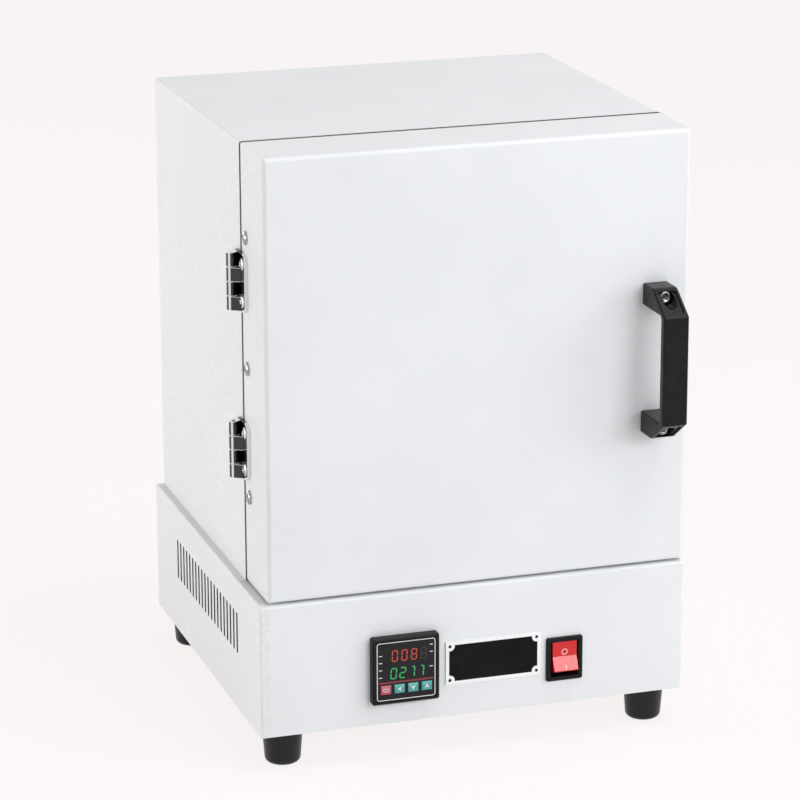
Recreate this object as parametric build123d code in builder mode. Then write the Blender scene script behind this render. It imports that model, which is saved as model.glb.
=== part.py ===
from build123d import *
import math
import os

os.makedirs("parts", exist_ok=True)

# Bench-top burnout furnace. Millimetres, +Z up, front towards -Y.
# The origin is on the table, in the middle of the whole object's footprint.

# Cabinet and door
box_width = 300.0
box_depth = 286.0
body_height = 307.3
door_base_gap = 1.6
door_depth = 54.0
seam_gap = 2.0
sheet = 1.2
body_bend = 2.0
door_bend = 3.0
corner_round = 1.2
flange = 13.0
cover_margin = 1.0

# Base
base_width = 306.7
base_height = 94.4
base_shift = 2.85  # base centre stands this far left of the cabinet centre
base_bend = 2.6
base_edge = 1.6
tray_wall = 14.0
tray_fit = 0.2

# Feet
foot_height = 26.0
foot_inset = 20.5
foot_top_radius = 14.2
foot_bottom_radius = 12.2
foot_round = 4.0
foot_bore_radius = 5.6
foot_bore_depth = 15.0
foot_screw_radius = 2.5
foot_screw_head_radius = 4.8
foot_screw_head = 3.2
foot_nut_height = 4.0
foot_nut_flats = 8.0

# General hole and thread clearances
hole_fit = 0.15
running_fit = 0.06
press_fit = 0.02

# Vent slots in the base sides
vent_count = 20
vent_pitch = 8.58
vent_length = 30.0
vent_width = 3.8
vent_from_front = 141.0
vent_height = 56.0

# Temperature controller, a 48 mm panel instrument
controller_from_centre = 54.9
controller_height = 40.2
bezel_size = 48.0
bezel_depth = 6.5
bezel_round = 1.5
bezel_bevel = 1.0
case_size = 44.4
case_depth = 72.0
case_wall = 2.0
window_size = 43.0
window_fit = 0.1
window_thick = 1.5
window_recess = 0.3
board_size = 40.4
board_thick = 1.6
board_ledge = 1.7
clamp_wall = 4.0
clamp_depth = 10.0

# Controller keys
key_count = 4
key_width = 7.3
key_height = 6.2
key_pitch = 9.75
key_drop = 13.1  # below the controller's centre
key_proud = 0.9  # above the window's face
key_travel = 0.6
key_fit = 0.15
key_rim = 0.65
key_rim_thick = 0.7
key_rim_gap = 0.1
key_rest_gap = 0.2  # left behind a key that is pushed right in
key_round = 0.4

# Nameplate
plate_from_centre = 10.0
plate_height = 38.7
plate_width = 69.0
plate_tall = 31.0
plate_thick = 1.0
rivet_radius = 1.05
rivet_inset_side = 2.9
rivet_inset_top = 3.15
rivet_dome = 0.4
rivet_tail = 1.5

# Rocker switch
switch_from_centre = 62.1
switch_height = 32.8
switch_width = 26.6
switch_tall = 31.8
switch_bezel = 2.0
switch_round = 1.5
switch_body_inset = 1.2
switch_body_depth = 24.0
switch_well_width = 20.4
switch_well_tall = 26.0
switch_well_depth = 13.5
rocker_width = 17.6
rocker_half = 10.5
rocker_front = 9.0
rocker_back = 3.0
rocker_tilt = 12.0
rocker_recess = 0.2
rocker_round = 0.6
trunnion_radius = 1.5
trunnion_bite = 1.2
terminal_width = 6.3
terminal_thick = 0.8
terminal_length = 9.0
terminal_pitch = 7.0

# Control gear inside the base
heatsink_width = 50.0
heatsink_depth = 80.0
heatsink_plate = 5.0
heatsink_height = 22.0
fin_count = 6
fin_thick = 2.0
relay_width = 45.0
relay_depth = 58.0
relay_height = 22.5
relay_from_rear = 75.0
relay_from_side = 70.0
relay_round = 2.0
block_width = 34.0
block_depth = 16.0
block_height = 22.0
block_groove = 5.0

# Cable gland at the rear
gland_from_side = 36.2
gland_height = 36.0
gland_reach = 20.0
gland_thread_radius = 8.0
gland_thread_length = 14.0
gland_flange_radius = 12.0
gland_flange = 5.0
gland_dome_radius = 10.5
gland_mouth_radius = 7.0
gland_bore_radius = 4.0

# Firing chamber and its lining
chamber_width = 150.0
chamber_height = 150.0
chamber_depth = 150.0
rear_board = 50.0
lining_gap = 1.6
mouth_margin = 10.0
hearth_thick = 8.0
hearth_fit = 3.0

# Heating elements, one in each side block
element_radius = 4.5
element_setback = 5.5
run_count = 4
element_pitch = 30.0
element_end_margin = 14.0
groove_width = 12.0
groove_depth = 11.0
lead_radius = 1.8
lead_hole_radius = 2.6
lead_tail = 8.0
lead_bend = 3.0
lead_from_rear = 14.0
wire_hole_radius = 5.0

# Thermocouple
probe_radius = 3.0
probe_from_centre = 40.0
probe_height = 26.0
probe_in_chamber = 22.0
probe_head_radius = 7.0
probe_head_length = 12.0
probe_lead_radius = 1.5

# Door
panel_flange = 16.0
plug_clearance = 3.0
plug_reach = 12.0
plug_round = 4.0
board_clearance = 2.0
gasket_margin = 3.0
gasket_width = 15.0
gasket_gap = 0.3
plug_hole_margin = 1.0

# Magnetic catch
catch_from_edge = 23.0
catch_width = 14.0
catch_tall = 36.0
catch_proud = 0.9
catch_depth = 8.0
catch_wall = 2.0
magnet_depth = 5.0
strike_width = 16.0
strike_tall = 40.0
strike_thick = 0.8

# Door handle
handle_from_edge = 24.4
handle_drop = 4.75  # below the door's centre
handle_length = 105.7
handle_width = 18.2
handle_reach = 39.4
handle_leg = 15.5
handle_slant_depth = 22.0
handle_slant_tall = 15.0
handle_bar = 7.0
handle_edge = 1.6
handle_shoulder = 9.0
handle_inner_round = 2.0
handle_screw_inset = 6.5
handle_bore_radius = 5.0
handle_recess = 1.2
handle_recess_side = 2.4
handle_recess_end = 3.0
handle_foot = 13.0
handle_screw_radius = 2.9
handle_head_radius = 4.4
handle_head = 5.5
handle_socket = 4.0
handle_nut_flats = 10.0
handle_nut = 5.0
nut_pocket_radius = 8.0
nut_pocket_depth = 8.0

# Screws in the door's side flanges
side_screw_setback = 12.0
side_screw_spacing = 90.5
side_screw_radius = 2.0
side_screw_head_radius = 4.5
side_screw_dome = 2.5
screw_tip = 0.3
dome_rim = 0.3  # upright rim under a domed head

# Hinges
hinge_offset = 7.5
hinge_spacing = 117.5
hinge_tall = 40.0
leaf_thick = 2.5
leaf_start = 1.4
leaf_reach = 15.5
leaf_round = 6.0
knuckle_count = 4
knuckle_gap = 0.3
barrel_radius = 3.0
pin_radius = 1.6
leaf_screw_setback = 8.5
leaf_screw_spacing = 25.8
leaf_screw_radius = 2.0
leaf_screw_head_radius = 3.8
arm_root = 6.6

# Rear panel screws and cabinet bolts
rear_screw_radius = 1.9
rear_screw_head_radius = 3.5
rear_screw_dome = 2.2
rear_screw_inset = 7.5
bolt_radius = 2.5
bolt_head_radius = 4.5
bolt_head = 3.0
bolt_inset_x = 30.0
bolt_inset_y = 40.0

# Places worked out from the sizes above
barrel_reach = hinge_offset + barrel_radius
overall_width = barrel_reach + box_width + side_screw_dome
overall_depth = handle_reach + box_depth + gland_reach
box_left = barrel_reach - overall_width / 2
box_right = box_left + box_width
box_x = (box_left + box_right) / 2
base_x = box_x - base_shift
base_left = base_x - base_width / 2

front_y = handle_reach - overall_depth / 2
back_y = front_y + box_depth
cover_y = back_y - sheet
door_back = front_y + door_depth
body_front = door_back + seam_gap
hinge_y = door_back + seam_gap / 2

base_bottom = foot_height
base_top = base_bottom + base_height
body_top = base_top + body_height
door_bottom = base_top + door_base_gap
door_height = body_top - door_bottom
door_z = (door_bottom + body_top) / 2

inner_left = box_left + sheet
inner_right = box_right - sheet
inner_width = inner_right - inner_left

board_front = body_front + sheet
board_left = inner_left + lining_gap
board_right = inner_right - lining_gap
board_bottom = base_top + sheet
board_top = body_top - sheet - lining_gap
chamber_z = (board_bottom + board_top) / 2
chamber_back = board_front + chamber_depth
board_back = chamber_back + rear_board
chamber_left = box_x - chamber_width / 2
chamber_right = box_x + chamber_width / 2
chamber_bottom = chamber_z - chamber_height / 2
chamber_top = chamber_z + chamber_height / 2
mouth_width = chamber_width + 2 * mouth_margin
mouth_height = chamber_height + 2 * mouth_margin
lead_y = cover_y - lead_from_rear

controller_x = box_x - controller_from_centre
controller_z = base_bottom + controller_height
plate_x = box_x + plate_from_centre
plate_z = base_bottom + plate_height
rivet_spacing_width = plate_width - 2 * rivet_inset_side
rivet_spacing_height = plate_tall - 2 * rivet_inset_top
switch_x = box_x + switch_from_centre
switch_z = base_bottom + switch_height
gland_x = base_left + gland_from_side
gland_z = base_bottom + gland_height
handle_x = box_right - handle_from_edge
handle_z = door_z - handle_drop
catch_x = box_right - catch_from_edge


def facing(y):
    """Sketch plane that looks out of the front at depth y, with X to the right and Z up."""
    return Plane.XZ.offset(-y)


def from_left(x):
    """Sketch plane square to X at x, with Y along it and Z up."""
    return Plane.YZ.offset(x)


def finish(part, label):
    part.part.label = label
    export_step(part.part, f"parts/{label}.step")


def block(x, y, z):
    """A plain block from three pairs of low and high values."""
    (x0, x1), (y0, y1), (z0, z1) = x, y, z
    with BuildPart() as solid:
        with BuildSketch(Plane.XY.offset(z0)):
            with Locations(((x0 + x1) / 2, (y0 + y1) / 2)):
                Rectangle(x1 - x0, y1 - y0)
        extrude(amount=z1 - z0)
    return solid


# Base housing: front, top and sides of one folded sheet, with a turned-in rear edge
housing_depth = cover_y - front_y
wire_holes = [
    (chamber_left - element_setback, lead_y),
    (chamber_right + element_setback, lead_y),
    (box_x + probe_from_centre, lead_y),
]
bolt_places = [
    (box_left + bolt_inset_x, body_front + bolt_inset_y),
    (box_right - bolt_inset_x, body_front + bolt_inset_y),
    (box_left + bolt_inset_x, cover_y - bolt_inset_y),
    (box_right - bolt_inset_x, cover_y - bolt_inset_y),
]
base_screw_span = base_width / 2 - rear_screw_inset
base_screws = [
    (base_x + side * base_screw_span, z)
    for side in (-1, 0, 1)
    for z in (base_bottom + rear_screw_inset, base_top - rear_screw_inset)
]

with BuildPart() as base_housing:
    with BuildSketch(Plane.XY.offset(base_bottom)):
        with Locations((base_x, front_y + housing_depth / 2)):
            Rectangle(base_width, housing_depth)
    extrude(amount=base_height)
    top_edges = base_housing.faces().sort_by(Axis.Z)[-1].edges()
    fillet(top_edges.sort_by(Axis.Y)[0], base_bend)
    side_edges = base_housing.faces().filter_by(Axis.X).edges()
    housing_middle = front_y + housing_depth / 2
    upright = side_edges.filter_by(Axis.Z).filter_by(lambda edge: edge.center().Y < housing_middle)
    along = side_edges.filter_by(Axis.Y).group_by(Axis.Z)[-1]
    fillet(upright + side_edges.filter_by(GeomType.CIRCLE) + along, base_edge)
    offset(
        amount=-sheet,
        openings=[base_housing.faces().sort_by(Axis.Z)[0], base_housing.faces().sort_by(Axis.Y)[-1]],
    )
    with BuildSketch(facing(cover_y)):
        with Locations((base_x, base_bottom + (base_height - base_edge) / 2)):
            Rectangle(base_width - 2 * sheet, base_height - base_edge)
        with Locations((base_x, base_bottom + (base_height - sheet - flange) / 2)):
            Rectangle(base_width - 2 * (sheet + flange), base_height - sheet - flange, mode=Mode.SUBTRACT)
    extrude(amount=sheet)
    with BuildSketch(facing(cover_y)):
        with Locations((base_x, base_bottom)):
            Rectangle(base_width - 2 * sheet, 2 * (tray_wall + tray_fit))
    extrude(amount=sheet, mode=Mode.SUBTRACT)
    with BuildSketch(facing(front_y)):
        with Locations((controller_x, controller_z)):
            Rectangle(case_size + 2 * hole_fit, case_size + 2 * hole_fit)
        with Locations((switch_x, switch_z)):
            Rectangle(
                switch_width - 2 * (switch_body_inset - hole_fit),
                switch_tall - 2 * (switch_body_inset - hole_fit),
            )
        with Locations((plate_x, plate_z)):
            with GridLocations(rivet_spacing_width, rivet_spacing_height, 2, 2):
                Circle(rivet_radius + hole_fit)
    extrude(amount=-sheet, mode=Mode.SUBTRACT)
    with BuildSketch(from_left(base_x)):
        with Locations((front_y + vent_from_front, base_bottom + vent_height)):
            with GridLocations(vent_pitch, vent_length, vent_count, 1):
                SlotOverall(vent_length, vent_width, rotation=90)
    extrude(amount=base_width / 2, both=True, mode=Mode.SUBTRACT)
    with BuildSketch(Plane.XY.offset(base_top)):
        with Locations(*wire_holes):
            Circle(wire_hole_radius)
        with Locations(*bolt_places):
            Circle(bolt_radius + hole_fit)
    extrude(amount=-sheet, mode=Mode.SUBTRACT)
    with BuildSketch(facing(cover_y)):
        with Locations(*base_screws):
            Circle(rear_screw_radius + hole_fit)
    extrude(amount=sheet, mode=Mode.SUBTRACT)
finish(base_housing, "base_housing")

# Base floor: a tray between the housing's sides
foot_places = [
    (base_x + side * (base_width / 2 - foot_inset), y)
    for side in (-1, 1)
    for y in (front_y + foot_inset, back_y - foot_inset)
]
tray_width = base_width - 2 * (sheet + tray_fit)
tray_front = front_y + sheet + tray_fit
with BuildPart() as base_floor:
    with BuildSketch(Plane.XY.offset(base_bottom)):
        with Locations((base_x, (tray_front + cover_y) / 2)):
            Rectangle(tray_width, cover_y - tray_front)
    extrude(amount=tray_wall)
    offset(amount=-sheet, openings=base_floor.faces().sort_by(Axis.Z)[-1])
    with BuildSketch(Plane.XY.offset(base_bottom)):
        with Locations(*foot_places):
            Circle(foot_screw_radius + hole_fit)
    extrude(amount=sheet, mode=Mode.SUBTRACT)
    with BuildSketch(facing(cover_y)):
        with Locations(*base_screws):
            Circle(rear_screw_radius + hole_fit)
    extrude(amount=sheet, mode=Mode.SUBTRACT)
finish(base_floor, "base_floor")

# Base rear panel, with the hole for the cable gland
with BuildPart() as base_rear_panel:
    with BuildSketch(facing(back_y)):
        with Locations((base_x, base_bottom + base_height / 2)):
            Rectangle(base_width - 2 * cover_margin, base_height - 2 * cover_margin)
        with Locations(*base_screws):
            Circle(rear_screw_radius + hole_fit, mode=Mode.SUBTRACT)
        with Locations((gland_x, gland_z)):
            Circle(gland_thread_radius + hole_fit, mode=Mode.SUBTRACT)
    extrude(amount=sheet)
finish(base_rear_panel, "base_rear_panel")

# Feet: tapered rubber, bored from below for their screws
foot_names = ["foot_front_left", "foot_rear_left", "foot_front_right", "foot_rear_right"]
for (foot_x, foot_y), foot_name in zip(foot_places, foot_names):
    foot_axis = Axis((foot_x, foot_y, 0), (0, 0, 1))
    with BuildPart() as foot:
        with BuildSketch(Plane.XZ.offset(-foot_y)):
            with BuildLine():
                Polyline(
                    (foot_x, 0),
                    (foot_x + foot_bottom_radius, 0),
                    (foot_x + foot_top_radius, foot_height),
                    (foot_x, foot_height),
                    close=True,
                )
            rim = make_face().vertices().group_by(Axis.Y)[0].sort_by(Axis.X)[-1]
            fillet(rim, foot_round)
        revolve(axis=foot_axis)
        with BuildSketch(Plane.XY):
            with Locations((foot_x, foot_y)):
                Circle(foot_bore_radius)
        extrude(amount=foot_bore_depth, mode=Mode.SUBTRACT)
        with BuildSketch(Plane.XY):
            with Locations((foot_x, foot_y)):
                Circle(foot_screw_radius + hole_fit)
        extrude(amount=foot_height, mode=Mode.SUBTRACT)
    finish(foot, foot_name)

# Foot screws, each with its nut on the base floor
with BuildPart() as foot_screws:
    with BuildSketch(Plane.XY.offset(foot_bore_depth)):
        with Locations(*foot_places):
            Circle(foot_screw_head_radius)
    extrude(amount=-foot_screw_head)
    with BuildSketch(Plane.XY.offset(foot_bore_depth)):
        with Locations(*foot_places):
            Circle(foot_screw_radius)
    extrude(amount=foot_height - foot_bore_depth + sheet + foot_nut_height)
finish(foot_screws, "foot_screws")

with BuildPart() as foot_nuts:
    with BuildSketch(Plane.XY.offset(base_bottom + sheet)):
        with Locations(*foot_places):
            RegularPolygon(foot_nut_flats / 2, 6, major_radius=False)
        with Locations(*foot_places):
            Circle(foot_screw_radius + press_fit, mode=Mode.SUBTRACT)
    extrude(amount=foot_nut_height)
finish(foot_nuts, "foot_nuts")

# Controller case: bezel in front of the panel, hollow body behind it
bezel_front = front_y - bezel_depth
window_back = bezel_front + window_recess + window_thick
board_face = window_back + key_rim_gap + key_rim_thick + key_travel + key_rest_gap
board_seat = board_face + board_thick
case_back = front_y + case_depth
with BuildPart() as controller_case:
    with BuildSketch(facing(front_y)):
        with Locations((controller_x, controller_z)):
            RectangleRounded(bezel_size, bezel_size, bezel_round)
    extrude(amount=bezel_depth)
    chamfer(controller_case.faces().sort_by(Axis.Y)[0].edges(), bezel_bevel)
    with BuildSketch(facing(front_y)):
        with Locations((controller_x, controller_z)):
            Rectangle(case_size, case_size)
    extrude(amount=-case_depth)
    with BuildSketch(facing(bezel_front)):
        with Locations((controller_x, controller_z)):
            RectangleRounded(window_size + 2 * window_fit, window_size + 2 * window_fit, bezel_round)
    extrude(amount=bezel_front - window_back, mode=Mode.SUBTRACT)
    with BuildSketch(facing(window_back)):
        with Locations((controller_x, controller_z)):
            Rectangle(board_size + 2 * window_fit, board_size + 2 * window_fit)
    extrude(amount=window_back - board_seat, mode=Mode.SUBTRACT)
    with BuildSketch(facing(board_seat)):
        with Locations((controller_x, controller_z)):
            Rectangle(board_size - 2 * board_ledge, board_size - 2 * board_ledge)
    extrude(amount=board_seat - case_back + case_wall, mode=Mode.SUBTRACT)
finish(controller_case, "controller_case")

key_z = controller_z - key_drop
key_x = [controller_x + (n - (key_count - 1) / 2) * key_pitch for n in range(key_count)]
with BuildPart() as controller_window:
    with BuildSketch(facing(window_back)):
        with Locations((controller_x, controller_z)):
            RectangleRounded(window_size, window_size, bezel_round)
        with Locations(*[(x, key_z) for x in key_x]):
            Rectangle(key_width + 2 * key_fit, key_height + 2 * key_fit, mode=Mode.SUBTRACT)
    extrude(amount=window_thick)
finish(controller_window, "controller_window")

with BuildPart() as controller_board:
    with BuildSketch(facing(board_seat)):
        with Locations((controller_x, controller_z)):
            Rectangle(board_size, board_size)
    extrude(amount=board_thick)
finish(controller_board, "controller_board")

# Clamp that holds the case against the back of the panel
with BuildPart() as controller_clamp:
    with BuildSketch(facing(front_y + sheet)):
        with Locations((controller_x, controller_z)):
            Rectangle(case_size + 2 * clamp_wall, case_size + 2 * clamp_wall)
            Rectangle(case_size + 2 * hole_fit, case_size + 2 * hole_fit, mode=Mode.SUBTRACT)
    extrude(amount=-clamp_depth)
finish(controller_clamp, "controller_clamp")

# Four keys, each a cap with a rim that the window keeps in
window_front = bezel_front + window_recess
rim_front = window_back + key_rim_gap
key_names = ["key_set", "key_shift", "key_down", "key_up"]
for x, key_name in zip(key_x, key_names):
    with BuildPart() as key:
        with BuildSketch(facing(rim_front)):
            with Locations((x, key_z)):
                Rectangle(key_width, key_height)
        extrude(amount=rim_front - window_front + key_proud)
        fillet(key.faces().sort_by(Axis.Y)[0].edges(), key_round)
        with BuildSketch(facing(rim_front)):
            with Locations((x, key_z)):
                Rectangle(key_width + 2 * key_rim, key_height + 2 * key_rim)
        extrude(amount=-key_rim_thick)
    finish(key, key_name)

# Nameplate and its rivets
with BuildPart() as nameplate:
    with BuildSketch(facing(front_y)):
        with Locations((plate_x, plate_z)):
            Rectangle(plate_width, plate_tall)
            with GridLocations(rivet_spacing_width, rivet_spacing_height, 2, 2):
                Circle(rivet_radius + hole_fit, mode=Mode.SUBTRACT)
    extrude(amount=plate_thick)
finish(nameplate, "nameplate")

with BuildPart() as nameplate_rivets:
    with BuildSketch(facing(front_y - plate_thick - rivet_dome)):
        with Locations((plate_x, plate_z)):
            with GridLocations(rivet_spacing_width, rivet_spacing_height, 2, 2):
                Circle(rivet_radius)
    extrude(amount=-(plate_thick + rivet_dome + rivet_tail))
    rivet_fronts = nameplate_rivets.faces().group_by(Axis.Y)[0]
    fillet(rivet_fronts.edges(), rivet_dome)
finish(nameplate_rivets, "nameplate_rivets")

# Switch frame: bezel, body and the well that the rocker tilts in
tilt = math.radians(rocker_tilt)
pivot_y = front_y - switch_bezel + rocker_recess + rocker_front * math.cos(tilt)
switch_body_width = switch_width - 2 * switch_body_inset
switch_body_tall = switch_tall - 2 * switch_body_inset
trunnion_span = switch_well_width + 2 * trunnion_bite
with BuildPart() as switch_frame:
    with BuildSketch(facing(front_y)):
        with Locations((switch_x, switch_z)):
            RectangleRounded(switch_width, switch_tall, switch_round)
    extrude(amount=switch_bezel)
    fillet(switch_frame.faces().sort_by(Axis.Y)[0].edges(), rocker_round)
    with BuildSketch(facing(front_y)):
        with Locations((switch_x, switch_z)):
            Rectangle(switch_body_width, switch_body_tall)
    extrude(amount=-switch_body_depth)
    with BuildSketch(facing(front_y - switch_bezel)):
        with Locations((switch_x, switch_z)):
            Rectangle(switch_well_width, switch_well_tall)
    extrude(amount=-(switch_bezel + switch_well_depth), mode=Mode.SUBTRACT)
    with BuildSketch(from_left(switch_x)):
        with Locations((pivot_y, switch_z)):
            Circle(trunnion_radius + running_fit)
    extrude(amount=trunnion_span / 2 + running_fit, both=True, mode=Mode.SUBTRACT)
    with BuildSketch(facing(front_y + switch_body_depth)):
        with Locations((switch_x, switch_z)):
            with GridLocations(terminal_pitch, terminal_pitch, 2, 2):
                Rectangle(terminal_thick, terminal_width)
    extrude(amount=-terminal_length)
finish(switch_frame, "switch_frame")

# Rocker, drawn level and then tilted to its rest, with the upper half pushed in
rocker_plane = Plane(
    origin=(switch_x, pivot_y, switch_z),
    x_dir=(0, -math.cos(tilt), math.sin(tilt)),
    z_dir=(-1, 0, 0),
)
rocker_lip = rocker_front + rocker_half * math.tan(tilt)
with BuildPart() as switch_rocker:
    with BuildSketch(rocker_plane):
        with BuildLine():
            Polyline(
                (rocker_front, 0),
                (rocker_lip, rocker_half),
                (-rocker_back, rocker_half),
                (-rocker_back, -rocker_half),
                (rocker_lip, -rocker_half),
                close=True,
            )
        make_face()
    extrude(amount=rocker_width / 2, both=True)
    lips = switch_rocker.edges().filter_by(Axis.X).group_by(Axis.Y)[0]
    fillet(lips, rocker_round)
    with BuildSketch(from_left(switch_x)):
        with Locations((pivot_y, switch_z)):
            Circle(trunnion_radius)
    extrude(amount=trunnion_span / 2, both=True)
finish(switch_rocker, "switch_rocker")

# Heatsink on the base floor, with the solid state relay on it
gear_floor = base_bottom + sheet
relay_x = base_x + base_width / 2 - relay_from_side
relay_y = back_y - relay_from_rear
heatsink_top = gear_floor + heatsink_height
with BuildPart() as relay_heatsink:
    with BuildSketch(Plane.XY.offset(heatsink_top)):
        with Locations((relay_x, relay_y)):
            Rectangle(heatsink_width, heatsink_depth)
    extrude(amount=-heatsink_plate)
    fin_pitch = (heatsink_width - fin_thick) / (fin_count - 1)
    with BuildSketch(Plane.XY.offset(gear_floor)):
        with Locations((relay_x, relay_y)):
            with GridLocations(fin_pitch, heatsink_depth, fin_count, 1):
                Rectangle(fin_thick, heatsink_depth)
    extrude(amount=heatsink_height - heatsink_plate)
finish(relay_heatsink, "relay_heatsink")

with BuildPart() as solid_state_relay:
    with BuildSketch(Plane.XY.offset(heatsink_top)):
        with Locations((relay_x, relay_y)):
            RectangleRounded(relay_width, relay_depth, relay_round)
    extrude(amount=relay_height)
finish(solid_state_relay, "solid_state_relay")

# Terminal block on the base floor, under the left heater lead
block_x = chamber_left - element_setback
with BuildPart() as terminal_block:
    with BuildSketch(Plane.XY.offset(gear_floor)):
        with Locations((block_x, lead_y)):
            Rectangle(block_width, block_depth)
    extrude(amount=block_height)
    with BuildSketch(facing(lead_y)):
        with Locations((block_x, gear_floor + block_height)):
            with GridLocations(block_width / 3, block_groove, 2, 1):
                Rectangle(terminal_thick, 2 * block_groove)
    extrude(amount=block_depth / 2, both=True, mode=Mode.SUBTRACT)
finish(terminal_block, "terminal_block")

# Cable gland through the rear panel, bored for the cord
with BuildPart() as cable_gland:
    with BuildSketch(from_left(gland_x)):
        with BuildLine():
            Polyline(
                (cover_y - gland_thread_length, gland_z + gland_bore_radius),
                (cover_y - gland_thread_length, gland_z + gland_thread_radius),
                (back_y, gland_z + gland_thread_radius),
                (back_y, gland_z + gland_flange_radius),
                (back_y + gland_flange, gland_z + gland_flange_radius),
                (back_y + gland_flange, gland_z + gland_dome_radius),
                (back_y + gland_reach - gland_flange, gland_z + gland_dome_radius),
                (back_y + gland_reach, gland_z + gland_mouth_radius),
                (back_y + gland_reach, gland_z + gland_bore_radius),
                close=True,
            )
        make_face()
    revolve(axis=Axis((gland_x, 0, gland_z), (0, 1, 0)))
    with BuildSketch(facing(cover_y - sheet)):
        with Locations((gland_x, gland_z)):
            RegularPolygon(gland_flange_radius, 6)
            Circle(gland_thread_radius, mode=Mode.SUBTRACT)
    extrude(amount=gland_flange)
finish(cable_gland, "cable_gland")

# Cabinet shell: top and sides of one folded sheet
shell_depth = cover_y - body_front
body_screw_span = box_width / 2 - rear_screw_inset
body_screws = [
    (box_x + side * body_screw_span, z)
    for side in (-1, 1)
    for z in (base_top + rear_screw_inset, (base_top + body_top) / 2, body_top - rear_screw_inset)
]
hinge_z = [door_z + side * hinge_spacing / 2 for side in (-1, 1)]
leaf_screw_z = [z + side * leaf_screw_spacing / 2 for z in hinge_z for side in (-1, 1)]
with BuildPart() as body_shell:
    with BuildSketch(Plane.XY.offset(base_top)):
        with Locations((box_x, body_front + shell_depth / 2)):
            Rectangle(box_width, shell_depth)
    extrude(amount=body_height)
    fillet(body_shell.edges().filter_by(Axis.Y).group_by(Axis.Z)[-1], body_bend)
    ends = body_shell.faces().filter_by(Axis.Y)
    offset(amount=-sheet, openings=[body_shell.faces().sort_by(Axis.Z)[0], *ends])
    with BuildSketch(facing(cover_y)):
        with Locations((box_x, base_top + (body_height - body_bend) / 2)):
            Rectangle(inner_width, body_height - body_bend)
        with Locations((box_x, base_top + (body_height - sheet - flange) / 2)):
            Rectangle(inner_width - 2 * flange, body_height - sheet - flange, mode=Mode.SUBTRACT)
    extrude(amount=sheet)
    with BuildSketch(facing(cover_y)):
        with Locations((box_x, base_top)):
            Rectangle(inner_width, 2 * (tray_wall + tray_fit))
    extrude(amount=sheet, mode=Mode.SUBTRACT)
    with BuildSketch(facing(cover_y)):
        with Locations(*body_screws):
            Circle(rear_screw_radius + hole_fit)
    extrude(amount=sheet, mode=Mode.SUBTRACT)
    with BuildSketch(from_left(box_left)):
        with Locations(*[(hinge_y + leaf_screw_setback, z) for z in leaf_screw_z]):
            Circle(leaf_screw_radius + hole_fit)
    extrude(amount=sheet, mode=Mode.SUBTRACT)
finish(body_shell, "body_shell")

# Cabinet floor: a tray, open at the front, bolted down on the base
with BuildPart() as body_floor:
    with BuildSketch(Plane.XY.offset(base_top)):
        with Locations((box_x, (board_front + cover_y) / 2)):
            Rectangle(inner_width, cover_y - board_front)
    extrude(amount=tray_wall)
    tray_front_face = body_floor.faces().sort_by(Axis.Y)[0]
    offset(amount=-sheet, openings=[body_floor.faces().sort_by(Axis.Z)[-1], tray_front_face])
    with BuildSketch(Plane.XY.offset(base_top)):
        with Locations(*wire_holes):
            Circle(wire_hole_radius)
        with Locations(*bolt_places):
            Circle(bolt_radius + hole_fit)
    extrude(amount=sheet, mode=Mode.SUBTRACT)
    with BuildSketch(facing(cover_y)):
        with Locations(*body_screws):
            Circle(rear_screw_radius + hole_fit)
    extrude(amount=sheet, mode=Mode.SUBTRACT)
finish(body_floor, "body_floor")

with BuildPart() as body_rear_cover:
    with BuildSketch(facing(back_y)):
        with Locations((box_x, (base_top + body_top) / 2)):
            Rectangle(box_width - 2 * cover_margin, body_height - 2 * cover_margin)
        with Locations(*body_screws):
            Circle(rear_screw_radius + hole_fit, mode=Mode.SUBTRACT)
    extrude(amount=sheet)
finish(body_rear_cover, "body_rear_cover")

# Front frame round the mouth, with flanges that the shell's sides lie on
frame_top = body_top - sheet
frame_flange_bottom = base_top + tray_wall + cover_margin
catch_opening_width = catch_width + 2 * hole_fit
catch_opening_tall = catch_tall + 2 * hole_fit
with BuildPart() as front_frame:
    with BuildSketch(facing(body_front)):
        with Locations((box_x, (base_top + frame_top) / 2)):
            Rectangle(inner_width, frame_top - base_top)
    extrude(amount=-sheet)
    with BuildSketch(facing(body_front)):
        with Locations((box_x, (frame_flange_bottom + frame_top) / 2)):
            Rectangle(inner_width, frame_top - frame_flange_bottom)
        with Locations((box_x, (frame_flange_bottom + frame_top - sheet) / 2)):
            Rectangle(inner_width - 2 * sheet, frame_top - sheet - frame_flange_bottom, mode=Mode.SUBTRACT)
    extrude(amount=-flange)
    top_corners = front_frame.edges().filter_by(Axis.Y).group_by(Axis.Z)[-1]
    fillet([top_corners.sort_by(Axis.X)[0], top_corners.sort_by(Axis.X)[-1]], body_bend - sheet)
    with BuildSketch(facing(body_front)):
        with Locations((box_x, chamber_z)):
            Rectangle(mouth_width, mouth_height)
        with Locations((catch_x, chamber_z)):
            Rectangle(catch_opening_width, catch_opening_tall)
    extrude(amount=-sheet, mode=Mode.SUBTRACT)
    with BuildSketch(from_left(inner_left)):
        with Locations(*[(hinge_y + leaf_screw_setback, z) for z in leaf_screw_z]):
            Circle(leaf_screw_radius + hole_fit)
    extrude(amount=sheet, mode=Mode.SUBTRACT)
finish(front_frame, "front_frame")

# Chamber lining: five ceramic fibre blocks, face to face
lining_y = (board_front, board_back)
insulation_bottom = block((board_left, board_right), lining_y, (board_bottom, chamber_bottom))
finish(insulation_bottom, "insulation_bottom")
insulation_top = block((board_left, board_right), lining_y, (chamber_top, board_top))
finish(insulation_top, "insulation_top")

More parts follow.
